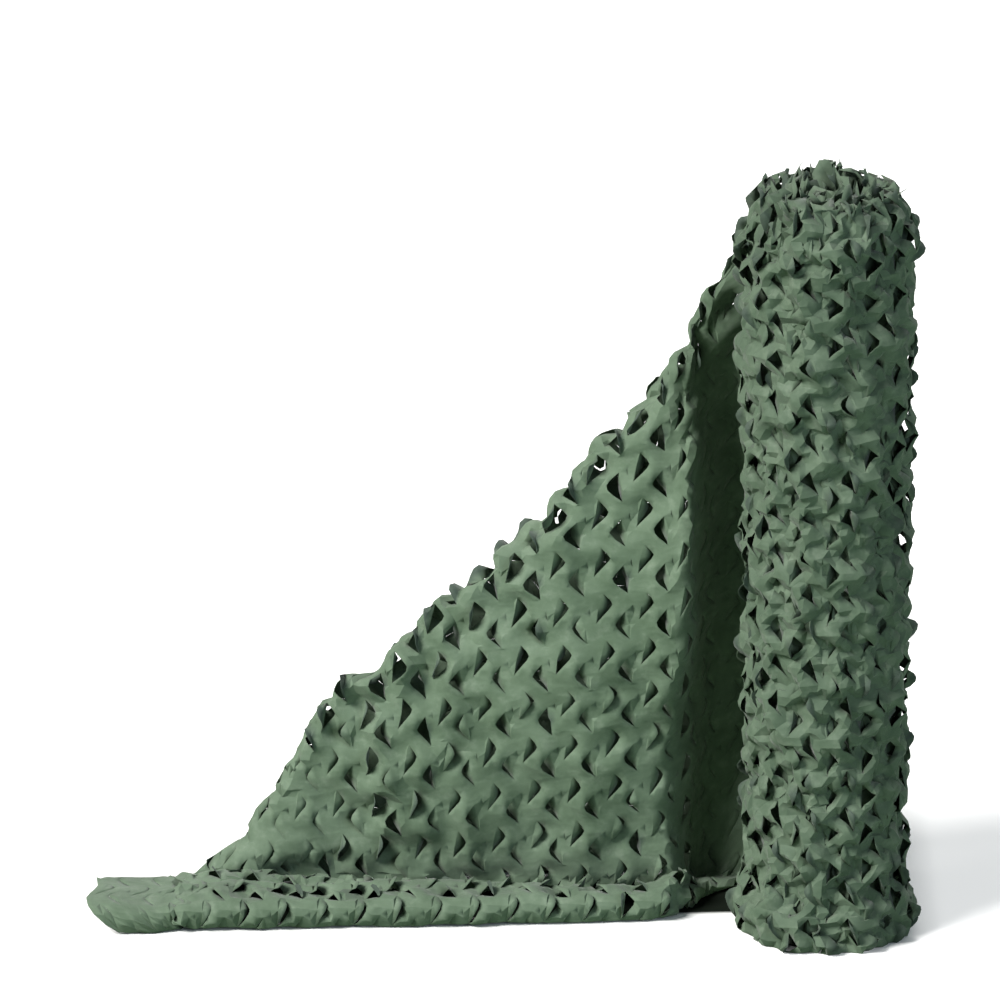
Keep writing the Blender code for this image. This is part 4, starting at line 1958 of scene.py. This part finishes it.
@dataclass(frozen=True)
class Core:
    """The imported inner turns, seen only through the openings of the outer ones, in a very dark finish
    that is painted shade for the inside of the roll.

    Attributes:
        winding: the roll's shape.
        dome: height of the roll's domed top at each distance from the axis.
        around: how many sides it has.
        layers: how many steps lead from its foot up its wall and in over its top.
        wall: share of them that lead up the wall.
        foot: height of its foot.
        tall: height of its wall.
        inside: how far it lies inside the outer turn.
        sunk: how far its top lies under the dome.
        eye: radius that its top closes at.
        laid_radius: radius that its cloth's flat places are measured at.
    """

    winding: Winding
    dome: dict[str, Column]
    around: int = 96
    layers: int = 60
    wall: float = 0.86
    foot: float = 0.004
    tall: float = 1.400
    inside: float = 0.034
    sunk: float = 0.085
    eye: float = 0.004
    laid_radius: float = 0.15

    def radius(self, z: float) -> float:
        """Radius of the wall at a height."""
        return float(self.winding.profile["r"].at(np.array(z))) - self.inside

    def ring(self, share: float) -> tuple[float, float, float]:
        """Place one ring of the outline.

        Args:
            share: how far the ring is from the foot, with 1 in the middle of the top.

        Returns:
            Its radius, its height, and how far in over the top it lies.
        """
        if share < self.wall:
            z = self.foot + self.tall * share / self.wall
            return self.radius(z), z, 0.0
        inner = (share - self.wall) / (1.0 - self.wall)
        r = self.radius(self.foot + self.tall) * (1.0 - inner) + self.eye * inner
        return r, float(self.dome["z"].at(np.array(r))) - self.sunk, self.laid_radius - r

    def build(self, finish: Material) -> Object:
        """Args:
            finish: its finish.

        Returns:
            The core.
        """
        around, layers = self.around, self.layers
        verts, faces, flat = [], [], []
        for j in range(layers + 1):
            r, z, over_top = self.ring(j / layers)
            for k in range(around):
                angle = 2.0 * math.pi * k / around
                ripple = 0.0016 * math.sin(9 * angle + 21 * z) + 0.0012 * math.sin(14 * angle - 47 * z)
                rr = max(r + ripple, 0.002)
                lean = self.winding.lean * z / NET_WIDTH
                verts.append((rr * math.cos(angle) + lean, rr * math.sin(angle), z))
                flat.append((angle * self.laid_radius, z + over_top))
        for j in range(layers):
            for k in range(around):
                a, b = j * around + k, j * around + (k + 1) % around
                faces.append((a, b, b + around, a + around))
        faces.append(tuple(range(around))[::-1])
        faces.append(tuple(layers * around + k for k in range(around)))
        mesh = bpy.data.meshes.new("roll_core")
        mesh.from_pydata(verts, [], faces)
        store_flat(mesh, np.array(flat))
        mesh.materials.append(finish)
        mesh.polygons.foreach_set("use_smooth", [True] * len(mesh.polygons))
        obj = put("roll_core", mesh)
        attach(obj, "root")
        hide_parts("roll")
        return obj


# ---- Studio ----


@dataclass(frozen=True)
class Sun:
    """One far light, in degrees: `turn` from the front to the left, `up` over the horizon."""

    name: str
    power: float
    soft: float
    turn: float
    up: float

    def make(self) -> None:
        """Put the light in the scene."""
        data = bpy.data.lights.new(self.name, "SUN")
        data.energy = self.power
        data.angle = math.radians(self.soft)
        data.color = (1.0, 0.99, 0.965)
        obj = put(self.name, data)
        turn, up = math.radians(self.turn), math.radians(self.up)
        towards = Vector((-math.sin(turn) * math.cos(up), -math.cos(turn) * math.cos(up), math.sin(up)))
        obj.rotation_euler = (-towards).to_track_quat("-Z", "Y").to_euler()


@dataclass(frozen=True)
class Lamp:
    """One soft area light."""

    name: str
    place: tuple[float, float, float]
    aim: tuple[float, float, float]
    size: float
    power: float
    colour: tuple[float, float, float] = (1.0, 1.0, 1.0)

    def make(self) -> None:
        """Put the light in the scene."""
        data = bpy.data.lights.new(self.name, "AREA")
        data.shape = "DISK"
        data.size = self.size
        data.energy = self.power
        data.color = self.colour
        obj = put(self.name, data)
        obj.location = self.place
        obj.rotation_euler = (Vector(self.aim) - Vector(self.place)).to_track_quat("-Z", "Y").to_euler()


@dataclass(frozen=True)
class FloorPatch:
    """A rectangle on the floor, slanted like the net's front edge.

    Attributes:
        middle: its middle, before it is slanted.
        half: half its sides.
        slant: how far its long sides run back for each metre to the right.
    """

    middle: tuple[float, float]
    half: tuple[float, float]
    slant: float = 0.063

    def outside(self, bench: NodeBench) -> Socket:
        """Measure how far a place on the floor lies outside the rectangle.

        Args:
            bench: the node bench.

        Returns:
            The distance, below 0 inside.
        """
        place = bench.add("ShaderNodeSeparateXYZ")
        bench.feed(place.inputs["Vector"], bench.add("ShaderNodeTexCoord").outputs["Object"])
        x, y = place.outputs[0], place.outputs[1]
        y = bench.maths("SUBTRACT", y, bench.maths("MULTIPLY", x, self.slant))
        off = []
        for axis, value in enumerate((x, y)):
            away = bench.maths("ABSOLUTE", bench.maths("SUBTRACT", value, self.middle[axis]))
            off.append(bench.maths("SUBTRACT", away, self.half[axis]))
        return bench.maths("MAXIMUM", *off)


@dataclass(frozen=True)
class Studio:
    """Pale floor, soft lights and the camera, with angles in degrees and the lens in millimetres."""

    target: tuple[float, float, float] = (-0.650, 0.0, 0.897)
    distance: float = 18.0
    elevation: float = 19.0
    lens: float = 328.5
    sky: float = 0.115
    # Painted shade: under the net the floor is painted near black for the camera, standing in for the deep
    # shade seen through the openings.
    painted_shade_under_net: FloorPatch = FloorPatch((-0.785, 0.180), (0.615, 0.118))
    # Outside this rectangle the floor has a painted glow for the camera; inside it the floor keeps its cast
    # shadows.
    shadow_round_net: FloorPatch = FloorPatch((-0.640, 0.240), (0.800, 0.360))
    suns: tuple[Sun, ...] = (
        Sun("key", power=6.0, soft=24.0, turn=58.0, up=42.0),
        Sun("back", power=1.3, soft=60.0, turn=200.0, up=40.0),
    )
    lamps: tuple[Lamp, ...] = (
        Lamp(
            "fill",
            place=(3.4, -5.0, 2.4),
            aim=(0.0, 0.0, 0.8),
            size=3.4,
            power=120.0,
            colour=(0.80, 0.94, 1.08),
        ),
    )

    def camera(self) -> None:
        """Make the camera."""
        data = bpy.data.cameras.new("camera")
        data.lens = self.lens
        data.sensor_width = 36.0
        data.clip_end = 200.0
        obj = put("camera", data)
        up = math.radians(self.elevation)
        away = Vector((0.0, -math.cos(up), math.sin(up)))
        obj.location = Vector(self.target) + away * self.distance
        obj.rotation_euler = (-away).to_track_quat("-Z", "Y").to_euler()
        bpy.context.scene.camera = obj

    def floor(self) -> None:
        """Lay the floor, white to the camera but dim and green in the light that it throws back. Under the
        net the camera sees painted shade, near black, and away from the net a faint painted glow that
        lightens the cast shadows.
        """
        half = 40.0
        mesh = bpy.data.meshes.new("floor")
        corners = [(-half, -half, 0.0), (half, -half, 0.0), (half, half, 0.0), (-half, half, 0.0)]
        mesh.from_pydata(corners, [], [(0, 1, 2, 3)])
        finish = bpy.data.materials.new("floor_paint")
        finish.use_nodes = True
        shader = finish.node_tree.nodes["Principled BSDF"]
        bench = NodeBench(finish.node_tree)
        seen = bench.add("ShaderNodeLightPath").outputs["Is Camera Ray"]
        white, grey, painted_floor_shade = (0.92, 0.92, 0.92, 1.0), (0.22, 0.31, 0.20, 1.0), (0.005, 0.008, 0.005, 1.0)
        # Painted shade: inside this patch the camera sees the floor near black instead of white.
        shaded = bench.ranged(self.painted_shade_under_net.outside(bench), -0.015, 0.0, (1.0, 0.0))
        looks = bench.blend(shaded, white, painted_floor_shade)
        bench.feed(shader.inputs["Base Color"], bench.blend(seen, grey, looks))
        shader.inputs["Emission Color"].default_value = white
        # Painted glow: the floor emits light to the camera away from the net, lightening the cast shadows
        # there.
        clear = bench.ranged(self.shadow_round_net.outside(bench), 0.0, 0.08, (0.0, 0.34))
        bench.feed(shader.inputs["Emission Strength"], bench.maths("MULTIPLY", seen, clear))
        shader.inputs["Roughness"].default_value = 0.9
        shader.inputs["Specular IOR Level"].default_value = 0.1
        mesh.materials.append(finish)
        put("floor", mesh)

    def world(self) -> None:
        """Light the scene evenly from all round."""
        world = bpy.data.worlds.new("studio")
        world.use_nodes = True
        shade = world.node_tree.nodes["Background"]
        shade.inputs["Color"].default_value = (0.90, 1.0, 1.02, 1.0)
        shade.inputs["Strength"].default_value = self.sky
        bpy.context.scene.world = world

    def build(self) -> None:
        """Set the studio up."""
        self.camera()
        self.floor()
        self.world()
        for light in (*self.suns, *self.lamps):
            light.make()
        bpy.context.scene.view_settings.view_transform = "Standard"


# ---- This netting's own shape ----

ROLL_PROFILE = columns_of(
    "up r z",
    (0.000, 0.1800, 0.001),
    (0.022, 0.1830, 0.020),
    (0.060, 0.1830, 0.055),
    (0.118, 0.1690, 0.110),
    (0.210, 0.1640, 0.200),
    (0.332, 0.1650, 0.320),
    (0.463, 0.1690, 0.450),
    (0.613, 0.1700, 0.600),
    (0.773, 0.1705, 0.760),
    (0.943, 0.1710, 0.930),
    (1.093, 0.1740, 1.080),
    (1.233, 0.1770, 1.220),
    (1.343, 0.1760, 1.330),
    (1.410, 0.1765, 1.397),
    (1.455, 0.1740, 1.441),
    (1.495, 0.1660, 1.480),
    (1.530, 0.1530, 1.512),
    (1.565, 0.1330, 1.540),
    (1.600, 0.1060, 1.558),
    (1.640, 0.0680, 1.568),
    (1.690, 0.0200, 1.570),
)

ROLL_DOME = columns_of(
    "r z",
    (0.000, 1.568), (0.050, 1.568), (0.090, 1.562), (0.120, 1.550),
    (0.140, 1.534), (0.155, 1.512),
)

FACE_SECTIONS = columns_of(
    "out toe foot_y mid_y crest_y crest_z gap spread",
    (-0.030, 0.000, 0.176, 0.176, 0.176, 1.484, 0.014, 0.014),
    (0.030, 0.000, 0.176, 0.176, 0.178, 1.474, 0.016, 0.018),
    (0.090, 0.000, 0.168, 0.166, 0.178, 1.430, 0.030, 0.040),
    (0.150, 0.016, 0.150, 0.128, 0.168, 1.410, 0.044, 0.066),
    (0.185, 0.048, 0.142, 0.109, 0.160, 1.396, 0.050, 0.078),
    (0.200, 0.066, 0.138, 0.104, 0.158, 1.376, 0.052, 0.082),
    (0.260, 0.084, 0.132, 0.094, 0.150, 1.243, 0.060, 0.096),
    (0.320, 0.092, 0.132, 0.092, 0.148, 1.135, 0.064, 0.104),
    (0.370, 0.098, 0.133, 0.094, 0.148, 1.062, 0.066, 0.108),
    (0.450, 0.106, 0.136, 0.100, 0.150, 0.950, 0.066, 0.112),
    (0.590, 0.124, 0.142, 0.112, 0.156, 0.768, 0.064, 0.114),
    (0.710, 0.138, 0.147, 0.122, 0.160, 0.652, 0.062, 0.112),
    (0.790, 0.145, 0.150, 0.126, 0.160, 0.572, 0.060, 0.108),
    (0.870, 0.148, 0.154, 0.130, 0.160, 0.497, 0.058, 0.102),
    (0.950, 0.150, 0.158, 0.150, 0.162, 0.427, 0.056, 0.094),
    (1.020, 0.152, 0.160, 0.156, 0.164, 0.374, 0.052, 0.086),
    (1.080, 0.154, 0.160, 0.158, 0.170, 0.276, 0.046, 0.074),
    (1.140, 0.156, 0.158, 0.152, 0.172, 0.165, 0.040, 0.060),
    (1.210, 0.158, 0.156, 0.154, 0.168, 0.086, 0.034, 0.048),
    (1.300, 0.160, 0.152, 0.152, 0.158, 0.036, 0.020, 0.026),
    (1.370, 0.160, 0.146, 0.146, 0.150, 0.026, 0.018, 0.020),
    (1.500, 0.156, 0.136, 0.136, 0.138, 0.026, 0.018, 0.018),
)

CREST_LINE = columns_of(
    "s d",
    (-1.100, 1.030), (-0.980, 1.050), (-0.900, 1.085), (-0.846, 1.057),
    (-0.555, 0.988), (-0.387, 0.978), (-0.160, 0.957), (0.068, 0.981),
    (0.215, 0.985), (0.409, 1.010), (0.574, 0.959), (0.726, 0.939),
    (0.855, 0.960), (1.000, 1.103),
)

ROW_DROP = columns_of(
    "out drop",
    (0.00, 0.000), (0.15, 0.035), (0.30, 0.072), (0.45, 0.094),
    (0.60, 0.112), (0.80, 0.135), (1.00, 0.156), (1.20, 0.170),
    (1.60, 0.180),
)

FACE_FOLDS = (
    Fold(1.215, 0.055, 1.010, 0.120, 0.030, 0.014),
    Fold(1.180, 0.010, 0.985, 0.050, 0.028, -0.012),
    Fold(1.060, 0.270, 0.900, 0.120, 0.045, -0.012),
    Fold(0.930, 0.380, 0.760, 0.100, 0.050, 0.012),
    Fold(0.740, 0.520, 0.560, 0.080, 0.050, -0.012),
    Fold(0.560, 0.700, 0.420, 0.120, 0.050, 0.013),
    Fold(0.420, 0.900, 0.320, 0.150, 0.045, -0.010),
    Fold(0.300, 1.050, 0.250, 0.100, 0.036, 0.010),
    Fold(0.300, 0.160, 0.300, -0.130, 0.024, 0.040),
)

FACE_CORNER = columns_of(
    "z out",
    (0.00, 0.325), (0.15, 0.335), (0.30, 0.330), (0.60, 0.300),
    (0.90, 0.290), (1.05, 0.305), (1.20, 0.340), (1.40, 0.360),
)

TIP_OUTLINE = columns_of(
    "share back",
    (0.00, 0.052), (0.30, 0.050), (0.42, 0.036), (0.55, 0.022),
    (0.70, 0.024), (0.82, 0.050), (1.00, 0.105),
)


# Painted shade: the roll's cloth is a darker copy of the loose cloth, standing in for the shade among the
# roll's ruffled leaves.
ROLLED_PAINTED_SHADE = ClothFinish(
    "net_cloth_rolled",
    deep=(0.051, 0.084, 0.051),
    pale=(0.098, 0.140, 0.093),
    painted_leaf_shade=(0.034, 0.052, 0.040),
)
LOOSE = ClothFinish(
    "net_cloth_loose",
    deep=(0.070, 0.110, 0.067),
    pale=(0.127, 0.180, 0.122),
    painted_leaf_shade=(0.034, 0.052, 0.042),
)
# Painted shade: a very dark copy of the cloth for the core, standing in for the deep shade inside the roll.
PACKED_PAINTED_SHADE = ClothFinish(
    "net_cloth_packed_painted_shade",
    deep=(0.030, 0.048, 0.030),
    pale=(0.050, 0.076, 0.046),
    painted_leaf_shade=(0.030, 0.050, 0.030),
)

LOOSE_LENGTH = 1.66
LOOSE_FURTHEST = 1.60


def reach_out(drape: Drape, full: float) -> dict[str, Column]:
    """Distance out for each length of cloth, which also swings back into the corner by the roll.

    Args:
        drape: the loose end's shape.
        full: length of the loose end.

    Returns:
        The distance out, as a curve along the cloth.
    """
    measured_up = 0.45
    out = np.linspace(0.0, LOOSE_FURTHEST, 321)
    depth = drape.face_y(out, np.full(out.shape, measured_up))
    along = np.concatenate([[0.0], np.cumsum(np.hypot(np.diff(out), np.diff(depth)))])
    marks = np.linspace(0.0, full, 80)
    values = np.interp(marks, along, out)
    return {"out": Column(tuple(marks), tuple(values))}


def main() -> None:
    """Build the studio, the roll and the loose end, and report each piece."""
    Studio().build()
    cell = Cell()
    maker = ClothMaker(Tiling(cell).tree())
    weave, dye = Weave().group(), DyeLot().group()
    rolled_painted_shade, loose, packed_painted_shade = (finish.material(weave, dye) for finish in (ROLLED_PAINTED_SHADE, LOOSE, PACKED_PAINTED_SHADE))
    drape = Drape(
        sections=FACE_SECTIONS,
        crest=CREST_LINE,
        drop=ROW_DROP,
        reach={},
        folds=FACE_FOLDS,
        corner=FACE_CORNER,
        tip=TIP_OUTLINE,
    )
    drape = replace(drape, reach=reach_out(drape, LOOSE_LENGTH))
    winding = Winding(ROLL_PROFILE)
    lie = Lie(winding, drape)
    roll = Roll(cell, lie, RollTop(ROLL_DOME))
    pieces = (
        Core(winding, ROLL_DOME).build(packed_painted_shade),
        roll.turn(maker, rolled_painted_shade, 1, 1.0),
        roll.turn(maker, rolled_painted_shade, 2, 0.7),
        roll.ends(maker, rolled_painted_shade),
        LooseEnd(cell, lie).build(maker, loose),
    )
    for piece in pieces:
        LOG.info("%s: %d points, %d faces", piece.name, len(piece.data.vertices), len(piece.data.polygons))


if __name__ == "__main__":
    main()
